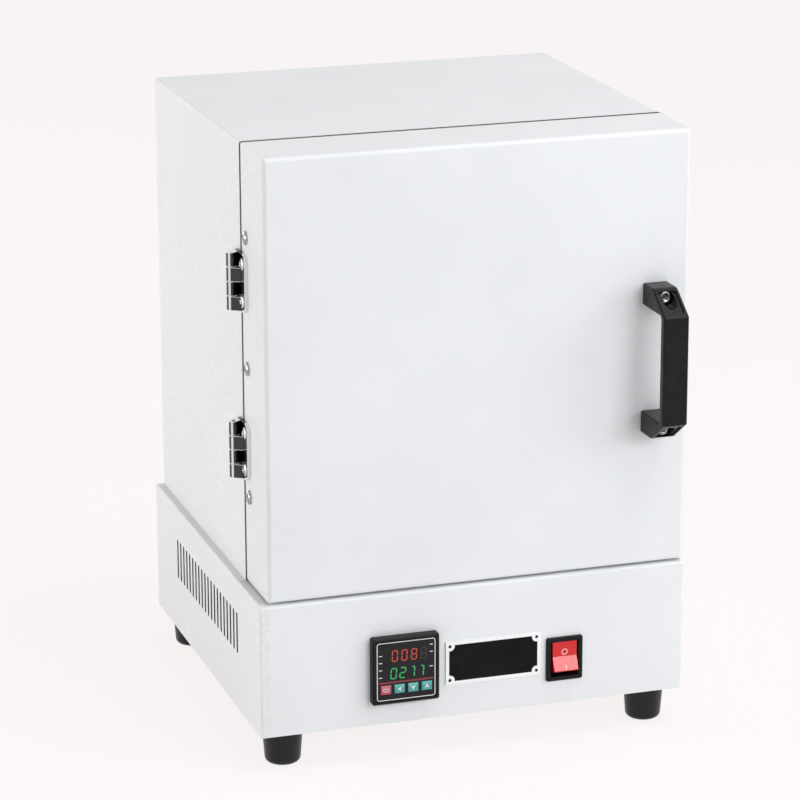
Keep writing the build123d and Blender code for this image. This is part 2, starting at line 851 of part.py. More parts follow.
rear_blank = block((chamber_left, chamber_right), (chamber_back, board_back), (chamber_bottom, chamber_top))
probe_x = box_x + probe_from_centre
probe_z = chamber_z + probe_height
with BuildPart() as insulation_rear:
    add(rear_blank.part)
    with BuildSketch(facing(board_back)):
        with Locations((probe_x, probe_z)):
            Circle(probe_radius + hole_fit)
    extrude(amount=rear_board, mode=Mode.SUBTRACT)
finish(insulation_rear, "insulation_rear")

# Heating elements: a serpentine of four runs in a groove of each side block
run_z = [chamber_z + (n - (run_count - 1) / 2) * element_pitch for n in range(run_count)]
run_front = board_front + mouth_margin + element_end_margin
run_back = chamber_back - element_end_margin - element_pitch / 2
lead_end = board_back + lead_tail
turn = element_pitch / 2


def serpentine(start_y):
    """Centre line of one element, from start_y at the lowest run to start_y at the highest."""
    Line((start_y, run_z[0]), (run_front, run_z[0]))
    CenterArc((run_front, run_z[0] + turn), turn, 270, -180)
    Line((run_front, run_z[1]), (run_back, run_z[1]))
    CenterArc((run_back, run_z[1] + turn), turn, 270, 180)
    Line((run_back, run_z[2]), (run_front, run_z[2]))
    CenterArc((run_front, run_z[2] + turn), turn, 270, -180)
    Line((run_front, run_z[3]), (start_y, run_z[3]))


element_sides = {
    "left": (chamber_left, -1, (board_left, chamber_left)),
    "right": (chamber_right, 1, (chamber_right, board_right)),
}
for side, (wall_x, outward, span) in element_sides.items():
    element_x = wall_x + outward * element_setback
    side_blank = block(span, lining_y, (chamber_bottom, chamber_top))
    with BuildPart() as side_block:
        add(side_blank.part)
        with BuildSketch(from_left(wall_x)):
            with BuildLine():
                serpentine(chamber_back)
            trace(line_width=groove_width)
        extrude(amount=outward * groove_depth, mode=Mode.SUBTRACT)
        with BuildSketch(facing(board_back)):
            with Locations((element_x, run_z[0]), (element_x, run_z[3])):
                Circle(lead_hole_radius)
        extrude(amount=board_back - chamber_back + groove_width, mode=Mode.SUBTRACT)
        if side == "right":
            with BuildSketch(facing(board_front)):
                with Locations((catch_x, chamber_z)):
                    Rectangle(catch_opening_width, catch_opening_tall)
            extrude(amount=-(catch_depth - catch_proud), mode=Mode.SUBTRACT)
    finish(side_block, f"insulation_{side}")

    with BuildPart() as element:
        with BuildLine(from_left(element_x)):
            serpentine(run_back)
        with BuildSketch(Plane(origin=(element_x, run_back, run_z[0]), z_dir=(0, -1, 0))):
            Circle(element_radius)
        sweep()
        with BuildSketch(facing(lead_end)):
            with Locations((element_x, run_z[0]), (element_x, run_z[3])):
                Circle(lead_radius)
        extrude(amount=lead_end - run_back)
    finish(element, f"heating_element_{side}")

hearth_plate = block(
    (chamber_left + hearth_fit, chamber_right - hearth_fit),
    (board_front + plug_reach + hearth_fit, chamber_back - hearth_fit),
    (chamber_bottom, chamber_bottom + hearth_thick),
)
finish(hearth_plate, "hearth_plate")

# Thermocouple: sheath through the rear block, head in the rear space
with BuildPart() as thermocouple:
    with BuildSketch(facing(board_back + probe_head_length)):
        with Locations((probe_x, probe_z)):
            Circle(probe_head_radius)
    extrude(amount=probe_head_length)
    with BuildSketch(facing(board_back)):
        with Locations((probe_x, probe_z)):
            Circle(probe_radius)
    extrude(amount=rear_board + probe_in_chamber)
    fillet(thermocouple.faces().sort_by(Axis.Y)[0].edges(), probe_radius / 2)
finish(thermocouple, "thermocouple")


def lead(points, radius, bend):
    """A round lead along points, each corner an arc."""
    with BuildPart() as wire:
        with BuildLine() as route:
            FilletPolyline(*points, radius=bend)
        with BuildSketch(Plane(origin=route.line @ 0, z_dir=route.line % 0)):
            Circle(radius)
        sweep()
    return wire


# Heater leads: one down to the terminal block, one down to the relay, one across
left_lead_x = chamber_left - element_setback
right_lead_x = chamber_right + element_setback
relay_top = heatsink_top + relay_height
relay_run_z = (relay_top + base_top) / 2
leads = [
    lead(
        [
            (left_lead_x, lead_end, run_z[0]),
            (left_lead_x, lead_y, run_z[0]),
            (left_lead_x, lead_y, gear_floor + block_height),
        ],
        lead_radius,
        lead_bend,
    ),
    lead(
        [
            (right_lead_x, lead_end, run_z[0]),
            (right_lead_x, lead_y, run_z[0]),
            (right_lead_x, lead_y, relay_run_z),
            (right_lead_x, relay_y + relay_depth / 4, relay_run_z),
            (right_lead_x, relay_y + relay_depth / 4, relay_top),
        ],
        lead_radius,
        lead_bend,
    ),
    lead(
        [
            (left_lead_x, lead_end, run_z[3]),
            (left_lead_x, lead_y, run_z[3]),
            (right_lead_x, lead_y, run_z[3]),
            (right_lead_x, lead_end, run_z[3]),
        ],
        lead_radius,
        lead_bend,
    ),
]
with BuildPart() as heater_leads:
    for wire in leads:
        add(wire.part)
finish(heater_leads, "heater_leads")

probe_head_end = board_back + probe_head_length
thermocouple_lead = lead(
    [
        (probe_x, probe_head_end, probe_z),
        (probe_x, lead_y + probe_lead_radius, probe_z),
        (probe_x, lead_y + probe_lead_radius, controller_z),
        (controller_x, lead_y + probe_lead_radius, controller_z),
        (controller_x, case_back, controller_z),
    ],
    probe_lead_radius,
    probe_lead_radius,
)
finish(thermocouple_lead, "thermocouple_lead")


# Rear screws: domed heads on the two rear panels
rear_places = base_screws + body_screws
with BuildPart() as rear_screws:
    with BuildSketch(facing(back_y)):
        with Locations(*rear_places):
            Circle(rear_screw_head_radius)
    extrude(amount=-rear_screw_dome)
    fillet(rear_screws.faces().group_by(Axis.Y)[-1].edges(), rear_screw_dome - dome_rim)
    with BuildSketch(facing(back_y)):
        with Locations(*rear_places):
            Circle(rear_screw_radius)
    extrude(amount=2 * sheet + lining_gap)
finish(rear_screws, "rear_screws")

# Bolts that hold the cabinet floor to the base top
with BuildPart() as cabinet_bolts:
    with BuildSketch(Plane.XY.offset(base_top - sheet)):
        with Locations(*bolt_places):
            Circle(bolt_head_radius)
    extrude(amount=-bolt_head)
    with BuildSketch(Plane.XY.offset(base_top - sheet)):
        with Locations(*bolt_places):
            Circle(bolt_radius)
    extrude(amount=2 * sheet)
finish(cabinet_bolts, "cabinet_bolts")

# Magnetic catch: holder in the frame, magnet in the holder
holder_front = body_front - catch_proud
with BuildPart() as catch_holder:
    with BuildSketch(facing(holder_front)):
        with Locations((catch_x, chamber_z)):
            RectangleRounded(catch_width, catch_tall, catch_wall / 2)
    extrude(amount=-catch_depth)
    with BuildSketch(facing(holder_front)):
        with Locations((catch_x, chamber_z)):
            Rectangle(catch_width - 2 * catch_wall, catch_tall - 2 * catch_wall)
    extrude(amount=-magnet_depth, mode=Mode.SUBTRACT)
finish(catch_holder, "catch_holder")

magnet_x = catch_width / 2 - catch_wall - tray_fit
magnet_z = catch_tall / 2 - catch_wall - tray_fit
catch_magnet = block(
    (catch_x - magnet_x, catch_x + magnet_x),
    (holder_front, holder_front + magnet_depth),
    (chamber_z - magnet_z, chamber_z + magnet_z),
)
finish(catch_magnet, "catch_magnet")

# Door shell: a deep pan, open at the back
side_screw_y = hinge_y - side_screw_setback
side_screw_z = [door_z + n * side_screw_spacing for n in (-1, 0, 1)]
handle_top = handle_z + handle_length / 2
handle_bottom = handle_z - handle_length / 2
handle_hole_z = [handle_bottom + handle_screw_inset, handle_top - handle_screw_inset]
panel_width = box_width - 2 * sheet
panel_height = door_height - 2 * sheet
with BuildPart() as door_shell:
    with BuildSketch(facing(door_back)):
        with Locations((box_x, door_z)):
            Rectangle(box_width, door_height)
    extrude(amount=door_depth)
    fillet(door_shell.edges().filter_by(Axis.Y), corner_round)
    fillet(door_shell.faces().sort_by(Axis.Y)[0].edges(), door_bend)
    with BuildSketch(facing(door_back)):
        with Locations((box_x, door_z)):
            Rectangle(panel_width, panel_height)
    extrude(amount=door_depth - sheet, mode=Mode.SUBTRACT)
    fillet(door_shell.faces().filter_by(Axis.Y).sort_by(Axis.Y)[1].edges(), door_bend - sheet)
    with BuildSketch(facing(front_y)):
        with Locations(*[(handle_x, z) for z in handle_hole_z]):
            Circle(handle_screw_radius + hole_fit)
    extrude(amount=-sheet, mode=Mode.SUBTRACT)
    with BuildSketch(from_left(box_x)):
        with Locations(*[(side_screw_y, z) for z in side_screw_z]):
            Circle(side_screw_radius + hole_fit)
    extrude(amount=box_width / 2, both=True, mode=Mode.SUBTRACT)
    with BuildSketch(from_left(box_left)):
        with Locations(*[(hinge_y - leaf_screw_setback, z) for z in leaf_screw_z]):
            Circle(leaf_screw_radius + hole_fit)
    extrude(amount=sheet, mode=Mode.SUBTRACT)
finish(door_shell, "door_shell")

# Door inner panel: closes the pan, with a window for the plug
step_width = mouth_width - 2 * plug_clearance
step_height = mouth_height - 2 * plug_clearance
with BuildPart() as door_inner_panel:
    with BuildSketch(facing(door_back)):
        with Locations((box_x, door_z)):
            Rectangle(panel_width, panel_height)
    extrude(amount=panel_flange)
    with BuildSketch(facing(door_back - sheet)):
        with Locations((box_x, door_z)):
            Rectangle(panel_width - 2 * sheet, panel_height - 2 * sheet)
    extrude(amount=panel_flange - sheet, mode=Mode.SUBTRACT)
    with BuildSketch(facing(door_back)):
        with Locations((box_x, chamber_z)):
            Rectangle(step_width + 2 * plug_hole_margin, step_height + 2 * plug_hole_margin)
    extrude(amount=sheet, mode=Mode.SUBTRACT)
    with BuildSketch(from_left(box_x)):
        with Locations(*[(side_screw_y, z) for z in side_screw_z]):
            Circle(side_screw_radius + hole_fit)
    extrude(amount=box_width / 2, both=True, mode=Mode.SUBTRACT)
    with BuildSketch(from_left(inner_left)):
        with Locations(*[(hinge_y - leaf_screw_setback, z) for z in leaf_screw_z]):
            Circle(leaf_screw_radius + hole_fit)
    extrude(amount=sheet, mode=Mode.SUBTRACT)
finish(door_inner_panel, "door_inner_panel")

# Door insulation: one stepped block, its plug reaching into the mouth
fill_width = panel_width - 2 * (sheet + board_clearance)
fill_height = panel_height - 2 * (sheet + board_clearance)
fill_depth = door_depth - 2 * sheet
step_back = board_front - gasket_gap
plug_width = chamber_width - 2 * plug_clearance
plug_height = chamber_height - 2 * plug_clearance
with BuildPart() as door_insulation:
    with BuildSketch(facing(door_back - sheet)):
        with Locations((box_x, door_z)):
            Rectangle(fill_width, fill_height)
    extrude(amount=fill_depth)
    with BuildSketch(facing(door_back - sheet)):
        with Locations((box_x, chamber_z)):
            Rectangle(step_width, step_height)
    extrude(amount=door_back - sheet - step_back)
    with BuildSketch(facing(step_back)):
        with Locations((box_x, chamber_z)):
            Rectangle(plug_width, plug_height)
    extrude(amount=-plug_reach)
    fillet(door_insulation.faces().sort_by(Axis.Y)[-1].edges(), plug_round)
    with BuildSketch(facing(front_y + sheet)):
        with Locations(*[(handle_x, z) for z in handle_hole_z]):
            Circle(nut_pocket_radius)
    extrude(amount=-nut_pocket_depth, mode=Mode.SUBTRACT)
finish(door_insulation, "door_insulation")

# Gasket: a flat fibre band on the inner panel, round the plug
gasket_inner_width = mouth_width + 2 * gasket_margin
gasket_inner_height = mouth_height + 2 * gasket_margin
with BuildPart() as door_gasket:
    with BuildSketch(facing(door_back)):
        with Locations((box_x, chamber_z)):
            RectangleRounded(
                gasket_inner_width + 2 * gasket_width, gasket_inner_height + 2 * gasket_width, gasket_width
            )
            Rectangle(gasket_inner_width, gasket_inner_height, mode=Mode.SUBTRACT)
    extrude(amount=gasket_gap - seam_gap)
finish(door_gasket, "door_gasket")

with BuildPart() as strike_plate:
    with BuildSketch(facing(door_back)):
        with Locations((catch_x, chamber_z)):
            RectangleRounded(strike_width, strike_tall, strike_thick)
    extrude(amount=-strike_thick)
finish(strike_plate, "strike_plate")

# Handle: a bridge whose slanted ends are recessed, each with a counterbore for its screw
handle_front = front_y - handle_reach
shoulder_y = handle_front + handle_slant_depth
slant_length = (handle_slant_depth**2 + handle_slant_tall**2) ** 0.5
slant_y = (handle_front + shoulder_y) / 2
with BuildPart() as door_handle:
    with BuildSketch(from_left(handle_x)):
        with BuildLine():
            Polyline(
                (front_y, handle_bottom),
                (front_y, handle_bottom + handle_leg),
                (handle_front + handle_bar, handle_bottom + handle_leg),
                (handle_front + handle_bar, handle_top - handle_leg),
                (front_y, handle_top - handle_leg),
                (front_y, handle_top),
                (shoulder_y, handle_top),
                (handle_front, handle_top - handle_slant_tall),
                (handle_front, handle_bottom + handle_slant_tall),
                (shoulder_y, handle_bottom),
                close=True,
            )
        make_face()
    extrude(amount=handle_width / 2, both=True)
    across = door_handle.edges().filter_by(Axis.X)
    fillet(across.group_by(Axis.Y)[0], handle_edge)
    shoulders = door_handle.edges().filter_by(Axis.X).filter_by_position(Axis.Y, shoulder_y, shoulder_y)
    fillet(shoulders, handle_shoulder)
    grip_inside = door_handle.edges().filter_by(Axis.X).filter_by_position(
        Axis.Y, handle_front + handle_bar, handle_front + handle_bar
    )
    fillet(grip_inside, handle_inner_round)
    side_loops = door_handle.faces().filter_by(Axis.X).edges()
    fillet(side_loops.filter_by(lambda edge: edge.center().Y < front_y - handle_edge), handle_edge)
    for end_z, outward in ((handle_top, 1), (handle_bottom, -1)):
        slant = Plane(
            origin=(handle_x, slant_y, end_z - outward * handle_slant_tall / 2),
            x_dir=(1, 0, 0),
            z_dir=(0, -handle_slant_tall, outward * handle_slant_depth),
        )
        with BuildSketch(slant):
            RectangleRounded(
                handle_width - 2 * handle_recess_side, slant_length - 2 * handle_recess_end, handle_edge
            )
        extrude(amount=-handle_recess, mode=Mode.SUBTRACT)
    with BuildSketch(facing(front_y - handle_foot)):
        with Locations(*[(handle_x, z) for z in handle_hole_z]):
            Circle(handle_bore_radius)
    extrude(amount=handle_reach, mode=Mode.SUBTRACT)
    with BuildSketch(facing(front_y)):
        with Locations(*[(handle_x, z) for z in handle_hole_z]):
            Circle(handle_screw_radius + hole_fit)
    extrude(amount=handle_foot, mode=Mode.SUBTRACT)
finish(door_handle, "door_handle")

# Handle screws and nuts
screw_seat = front_y - handle_foot
screw_length = handle_foot + sheet + handle_nut + screw_tip
with BuildPart() as handle_screws:
    with BuildSketch(facing(screw_seat)):
        with Locations(*[(handle_x, z) for z in handle_hole_z]):
            Circle(handle_head_radius)
    extrude(amount=handle_head)
    with BuildSketch(facing(screw_seat - handle_head)):
        with Locations(*[(handle_x, z) for z in handle_hole_z]):
            RegularPolygon(handle_socket / 2, 6, major_radius=False)
    extrude(amount=-handle_head / 2, mode=Mode.SUBTRACT)
    with BuildSketch(facing(screw_seat)):
        with Locations(*[(handle_x, z) for z in handle_hole_z]):
            Circle(handle_screw_radius)
    extrude(amount=-screw_length)
finish(handle_screws, "handle_screws")

with BuildPart() as handle_nuts:
    with BuildSketch(facing(front_y + sheet)):
        with Locations(*[(handle_x, z) for z in handle_hole_z]):
            RegularPolygon(handle_nut_flats / 2, 6, major_radius=False)
        with Locations(*[(handle_x, z) for z in handle_hole_z]):
            Circle(handle_screw_radius + press_fit, mode=Mode.SUBTRACT)
    extrude(amount=-handle_nut)
finish(handle_nuts, "handle_nuts")

# Domed screws through the door's side flanges into the inner panel
with BuildPart() as door_side_screws:
    for wall_x, outward in ((box_left, -1), (box_right, 1)):
        with BuildSketch(from_left(wall_x)):
            with Locations(*[(side_screw_y, z) for z in side_screw_z]):
                Circle(side_screw_head_radius)
        extrude(amount=outward * side_screw_dome)
    heads = door_side_screws.faces().filter_by(Axis.X)
    outer_heads = heads.group_by(Axis.X)[0] + heads.group_by(Axis.X)[-1]
    fillet(outer_heads.edges(), side_screw_dome - dome_rim)
    for wall_x, outward in ((box_left, -1), (box_right, 1)):
        with BuildSketch(from_left(wall_x)):
            with Locations(*[(side_screw_y, z) for z in side_screw_z]):
                Circle(side_screw_radius)
        extrude(amount=-outward * (2 * sheet + screw_tip))
finish(door_side_screws, "door_side_screws")

# Hinges: knuckles alternate between the two leaves, from the bottom up
hinge_x = box_left - hinge_offset
knuckle_tall = hinge_tall / knuckle_count


def hinge_leaf(centre_z, side, first_knuckle, bore_radius):
    """One leaf, on the door for side -1 and on the cabinet for side 1."""
    low_z = centre_z - hinge_tall / 2
    near_y = hinge_y + side * leaf_start
    far_y = hinge_y + side * leaf_reach
    with BuildPart() as leaf:
        with BuildSketch(from_left(box_left)):
            with Locations(((near_y + far_y) / 2, centre_z)):
                Rectangle(leaf_reach - leaf_start, hinge_tall)
        extrude(amount=-leaf_thick)
        outer = leaf.edges().filter_by(Axis.X).group_by(Axis.Y)[0 if side < 0 else -1]
        fillet(outer, leaf_round)
        for n in range(first_knuckle, knuckle_count, 2):
            with BuildSketch(Plane.XY.offset(low_z + n * knuckle_tall + knuckle_gap / 2)):
                with BuildLine():
                    CenterArc((hinge_x, hinge_y), barrel_radius, 0, 360)
                    Line((box_left, near_y), (box_left - leaf_thick, hinge_y + side * arm_root))
                make_hull()
            extrude(amount=knuckle_tall - knuckle_gap)
        with BuildSketch(Plane.XY.offset(low_z)):
            with Locations((hinge_x, hinge_y)):
                Circle(bore_radius)
        extrude(amount=hinge_tall, mode=Mode.SUBTRACT)
        for z in (centre_z - leaf_screw_spacing / 2, centre_z + leaf_screw_spacing / 2):
            with BuildSketch(from_left(box_left)):
                with Locations((hinge_y + side * leaf_screw_setback, z)):
                    Circle(leaf_screw_radius + hole_fit)
            with BuildSketch(from_left(box_left - leaf_thick)):
                with Locations((hinge_y + side * leaf_screw_setback, z)):
                    Circle(leaf_screw_head_radius + hole_fit)
            loft(mode=Mode.SUBTRACT)
    return leaf


hinge_names = ["lower", "upper"]
for centre_z, hinge_name in zip(hinge_z, hinge_names):
    door_leaf = hinge_leaf(centre_z, -1, 0, pin_radius + running_fit)
    finish(door_leaf, f"hinge_{hinge_name}_door_leaf")
    body_leaf = hinge_leaf(centre_z, 1, 1, pin_radius + press_fit)
    finish(body_leaf, f"hinge_{hinge_name}_body_leaf")

with BuildPart() as hinge_pins:
    for centre_z in hinge_z:
        with BuildSketch(Plane.XY.offset(centre_z - hinge_tall / 2)):
            with Locations((hinge_x, hinge_y)):
                Circle(pin_radius)
        extrude(amount=hinge_tall)
finish(hinge_pins, "hinge_pins")

# Countersunk hinge screws, through leaf, sheet and the flange behind it
for side, screw_name in ((-1, "hinge_door_screws"), (1, "hinge_body_screws")):
    places = [(hinge_y + side * leaf_screw_setback, z) for z in leaf_screw_z]
    with BuildPart() as hinge_screws:
        for place in places:
            with BuildSketch(from_left(box_left)):
                with Locations(place):
                    Circle(leaf_screw_radius)
            with BuildSketch(from_left(box_left - leaf_thick)):
                with Locations(place):
                    Circle(leaf_screw_head_radius)
            loft()
        with BuildSketch(from_left(box_left)):
            with Locations(*places):
                Circle(leaf_screw_radius)
        extrude(amount=2 * sheet + screw_tip)
    finish(hinge_screws, screw_name)
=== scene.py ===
import math
import bmesh
import bpy
from mathutils import Matrix, Vector
from mathutils.geometry import tessellate_polygon


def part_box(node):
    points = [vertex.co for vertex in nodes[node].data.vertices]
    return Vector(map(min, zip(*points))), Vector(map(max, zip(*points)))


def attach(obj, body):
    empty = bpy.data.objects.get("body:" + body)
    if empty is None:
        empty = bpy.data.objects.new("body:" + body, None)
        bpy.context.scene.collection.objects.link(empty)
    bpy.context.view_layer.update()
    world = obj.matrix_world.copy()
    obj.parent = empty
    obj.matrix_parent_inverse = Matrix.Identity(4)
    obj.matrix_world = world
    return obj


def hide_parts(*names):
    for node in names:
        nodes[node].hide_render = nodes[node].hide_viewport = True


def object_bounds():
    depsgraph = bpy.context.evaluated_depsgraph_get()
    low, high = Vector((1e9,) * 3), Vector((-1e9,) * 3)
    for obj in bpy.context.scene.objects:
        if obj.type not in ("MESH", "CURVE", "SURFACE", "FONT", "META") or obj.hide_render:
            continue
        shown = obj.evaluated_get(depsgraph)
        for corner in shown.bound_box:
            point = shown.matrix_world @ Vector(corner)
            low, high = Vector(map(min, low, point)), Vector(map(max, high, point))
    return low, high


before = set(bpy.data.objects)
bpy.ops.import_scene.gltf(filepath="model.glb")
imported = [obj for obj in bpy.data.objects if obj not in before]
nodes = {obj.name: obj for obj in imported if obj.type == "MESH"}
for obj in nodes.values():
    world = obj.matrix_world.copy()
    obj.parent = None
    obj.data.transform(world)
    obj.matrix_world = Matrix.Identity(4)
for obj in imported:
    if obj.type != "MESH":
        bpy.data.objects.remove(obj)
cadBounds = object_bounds()
scene = bpy.context.scene
mm = 0.001
print("frame loaded with", len(nodes), "nodes")


# A socket that takes part in sums
class Field:
    def __init__(self, nodeSet, socket):
        self.nodeSet = nodeSet
        self.socket = socket

    def __add__(self, other):
        return self.nodeSet.maths("ADD", self, other)

    def __sub__(self, other):
        return self.nodeSet.maths("SUBTRACT", self, other)

    def __rsub__(self, other):
        return self.nodeSet.maths("SUBTRACT", other, self)

    def __mul__(self, other):
        return self.nodeSet.maths("MULTIPLY", self, other)

    def __abs__(self):
        return self.nodeSet.maths("ABSOLUTE", self)

    __radd__ = __add__
    __rmul__ = __mul__


# The nodes of one material or of the world
class NodeSet:
    def __init__(self, tree):
        self.tree = tree
        tree.nodes.clear()

    def node(self, kind, settings=None, sockets=None, output=0):
        made = self.tree.nodes.new(kind)
        for key, value in (settings or {}).items():
            setattr(made, key, value)
        for key, value in (sockets or {}).items():
            socket = made.inputs[key]
            if isinstance(value, Field):
                self.tree.links.new(value.socket, socket)
            elif socket.type == "RGBA" and len(value) == 3:
                socket.default_value = (*value, 1)
            else:
                socket.default_value = value
        return Field(self, made.outputs[output]) if made.outputs else None

    def maths(self, operation, *values):
        return self.node("ShaderNodeMath", {"operation": operation}, dict(enumerate(values)))

    # inputs 6 and 7 and output 2 are the mix node's colours
    def mix(self, factor, first, second):
        sockets = {0: factor, 6: first, 7: second}
        return self.node("ShaderNodeMix", {"data_type": "RGBA"}, sockets, output=2)


# Sizes of patterns and depths of bumps are in millimetres
class Finish(NodeSet):
    def __init__(self, name):
        self.material = bpy.data.materials.new(name)
        self.material.use_nodes = True
        super().__init__(self.material.node_tree)
        self.place = self.node("ShaderNodeTexCoord", output="Object")

    # x, y or z of the point that is shaded, in metres
    def axis(self, number):
        return self.node("ShaderNodeSeparateXYZ", {}, {0: self.place}, output=number)

    def stretched(self, scale):
        return self.node("ShaderNodeMapping", {}, {"Vector": self.place, "Scale": scale})

    def noise(self, size, detail, roughness, where=None):
        sockets = {"Vector": where or self.place, "Scale": 1 / (size * mm), "Detail": detail,
                   "Roughness": roughness}
        return self.node("ShaderNodeTexNoise", {}, sockets)

    # output 0 is the distance from a cell's middle, 1 the cell's own colour
    def cells(self, size, feature="F1", output=0):
        sockets = {"Vector": self.place, "Scale": 1 / (size * mm)}
        return self.node("ShaderNodeTexVoronoi", {"feature": feature}, sockets, output)

    # the wave node draws one band in 0.314 of its unit
    def bands(self, size, direction, distortion):
        settings = {"wave_type": "BANDS", "bands_direction": direction}
        sockets = {"Vector": self.place, "Scale": 0.314 / (size * mm), "Distortion": distortion}
        return self.node("ShaderNodeTexWave", settings, sockets, output=1)

    # goes smoothly from start to end while value goes from low to high
    def between(self, value, low, high, start=0.0, end=1.0):
        sockets = {"Value": value, "From Min": low, "From Max": high, "To Min": start, "To Max": end}
        return self.node("ShaderNodeMapRange", {"interpolation_type": "SMOOTHSTEP"}, sockets)

    def bump(self, height, depth):
        return self.node("ShaderNodeBump", {}, {"Height": height, "Distance": depth * mm, "Strength": 1.0})

    def surface(self, sockets):
        shader = self.node("ShaderNodeBsdfPrincipled", {}, sockets)
        self.node("ShaderNodeOutputMaterial", {}, {"Surface": shader})
        return self.material

    # look holds the two colours, the roughness, the bump's depth and plain values of other sockets
    def dressed(self, look, tone, rough, height, low=0.3, high=0.7):
        return self.surface({
            "Base Color": self.mix(tone, look["dark"], look["light"]),
            "Roughness": self.between(rough, low, high, *look["roughness"]),
            "Normal": self.bump(height, look["depth"]),
            **look.get("plain", {}),
        })


doorLow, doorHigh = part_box("door_shell")
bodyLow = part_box("body_shell")[0]
baseLow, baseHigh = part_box("base_housing")

# White powder coat
coat = {
    "bright": (0.80, 0.805, 0.81),
    "soft": (0.765, 0.77, 0.775),
    "drift": 140.0,  # width of a patch of tone
    "peel": 1.1,  # width of the grain
    "cell": 1.54,
    "peelDepth": 0.10,
    "mottle": 0.955,  # tone of the dimples on the upright sides
    "mottleSize": 2.2,
    "sideFade": (1.5, 0.5),  # the dimples come in over this stretch before the sides
    "roughness": (0.40, 0.50),
    "gloss": 0.45,
}

# Painted shade: a dark tone painted into the seam between door and body and onto the vent slots' walls, where
# shade falls in the gaps
seamAndSlotShade = {
    "tone": (0.10, 0.098, 0.095),
    "spread": (0.3, 1.9),  # how far the painted seam shade goes beyond it
    "seamFoot": 0.2,  # the painted seam shade starts over this much above the base
    "skin": (0.08, 0.24),  # face of the base's side, which stays white
    "wall": (1.3, 1.5),  # inner end of the slots' walls
    "vents": ((-84.0, 99.0), (64.0, 100.0)),  # the slots' field along y and z
    "ventFade": 1.0,
}


# 1 where shade is painted, in the seam and on the slots' walls, 0 on the faces
def seamAndSlotShadeMask(f):
    x, y, z = (f.axis(number) for number in range(3))
    seamMiddle = (doorHigh.y + bodyLow.y) / 2
    reach = (bodyLow.y - doorHigh.y) / 2
    near, far = (reach + part * mm for part in seamAndSlotShade["spread"])
    seam = f.between(abs(y - seamMiddle), near, far, 1.0, 0.0)
    seam = seam * f.between(z, baseHigh.z, baseHigh.z + seamAndSlotShade["seamFoot"] * mm)
    slots = f.between(x, *(baseLow.x + part * mm for part in seamAndSlotShade["skin"]))
    slots = slots * f.between(x, *(baseLow.x + part * mm for part in seamAndSlotShade["wall"]), 1.0, 0.0)
    fade = seamAndSlotShade["ventFade"]
    for place, (low, high) in zip((y, z), seamAndSlotShade["vents"]):
        slots = slots * f.between(place, (low - fade) * mm, low * mm)
        slots = slots * f.between(place, high * mm, (high + fade) * mm, 1.0, 0.0)
    return f.maths("MAXIMUM", seam, slots)


def coatedSheet():
    f = Finish("powder coat")
    drift = f.noise(coat["drift"], 3, 0.55)
    peel = f.noise(coat["peel"], 3, 0.6)
    grain = f.cells(coat["cell"], "SMOOTH_F1")
    colour = f.mix(f.between(drift, 0.3, 0.7), coat["soft"], coat["bright"])
    middle, half = (doorLow.x + doorHigh.x) / 2, (doorHigh.x - doorLow.x) / 2
    onSide = f.between(abs(f.axis(0) - middle), *(half - part * mm for part in coat["sideFade"]))
    dimples = f.between(f.noise(coat["mottleSize"], 2, 0.5), 0.35, 0.65) * onSide
    colour = f.mix(dimples, colour, tuple(coat["mottle"] * part for part in coat["soft"]))
    return f.surface({
        # painted shade in the seam and on the vent slots' walls
        "Base Color": f.mix(seamAndSlotShadeMask(f), colour, seamAndSlotShade["tone"]),
        "Roughness": f.between(peel, 0.3, 0.7, *coat["roughness"]),
        "Normal": f.bump(peel * 0.6 + grain * 0.4, coat["peelDepth"]),
        "Specular IOR Level": coat["gloss"],
    })


galvanised = {"dark": (0.42, 0.43, 0.44), "light": (0.62, 0.63, 0.64), "roughness": (0.34, 0.52),
              "depth": 0.02, "spangle": 9.0, "grain": 2.2, "plain": {"Metallic": 0.85}}


def plainSheet():
    f = Finish("galvanised sheet")
    spangle = f.node("ShaderNodeSeparateColor", {}, {0: f.cells(galvanised["spangle"], output=1)})
    grain = f.noise(galvanised["grain"], 4, 0.6)
    tone = spangle * 0.6 + grain * 0.4
    return f.dressed(galvanised, tone, tone, grain, 0.2, 0.8)


stainless = {"dark": (0.545, 0.535, 0.52), "light": (0.585, 0.575, 0.56), "roughness": (0.30, 0.42),
             "depth": 0.006, "brush": 0.9, "smudge": 60.0, "plain": {"Metallic": 1.0}}


# Brushed across, so its lines run along x
def stainlessSheet():
    f = Finish("brushed stainless")
    brushed = f.noise(stainless["brush"], 5, 0.65, f.stretched((0.03, 1.0, 1.0)))
    smudge = f.noise(stainless["smudge"], 3, 0.5)
    return f.dressed(stainless, f.between(smudge, 0.3, 0.7), brushed * 0.85 + smudge * 0.15, brushed)


# Fine lines of polishing, and the patches that wear leaves
polish = {"worn": 3.5, "hair": 0.35, "stretch": (1.0, 1.0, 0.08), "depth": 0.004}

metals = {
    "steel_fasteners": {"name": "nickel plated screws", "dark": (0.26, 0.257, 0.253),
                        "light": (0.44, 0.436, 0.43), "roughness": (0.12, 0.192)},
    "handle_fasteners": {"name": "bright cap screws", "dark": (0.20, 0.20, 0.203),
                         "light": (0.34, 0.34, 0.344), "roughness": (0.14, 0.224)},
    "dark_rivet": {"name": "dark rivets", "dark": (0.03, 0.03, 0.032),
                   "light": (0.07, 0.07, 0.072), "roughness": (0.32, 0.512)},
    "hinge_screw": {"name": "polished hinge screws", "dark": (0.62, 0.615, 0.61),
                    "light": (0.76, 0.755, 0.75), "roughness": (0.14, 0.224)},
}


def hairLines(f):
    return f.noise(polish["hair"], 4, 0.7, f.stretched(polish["stretch"]))


def polishedMetal(look):
    f = Finish(look["name"])
    worn = f.noise(polish["worn"], 4, 0.6)
    hair = hairLines(f)
    look = {**look, "depth": polish["depth"], "plain": {"Metallic": 1.0}}
    return f.dressed(look, f.between(worn, 0.3, 0.7), worn * 0.5 + hair * 0.5, hair)
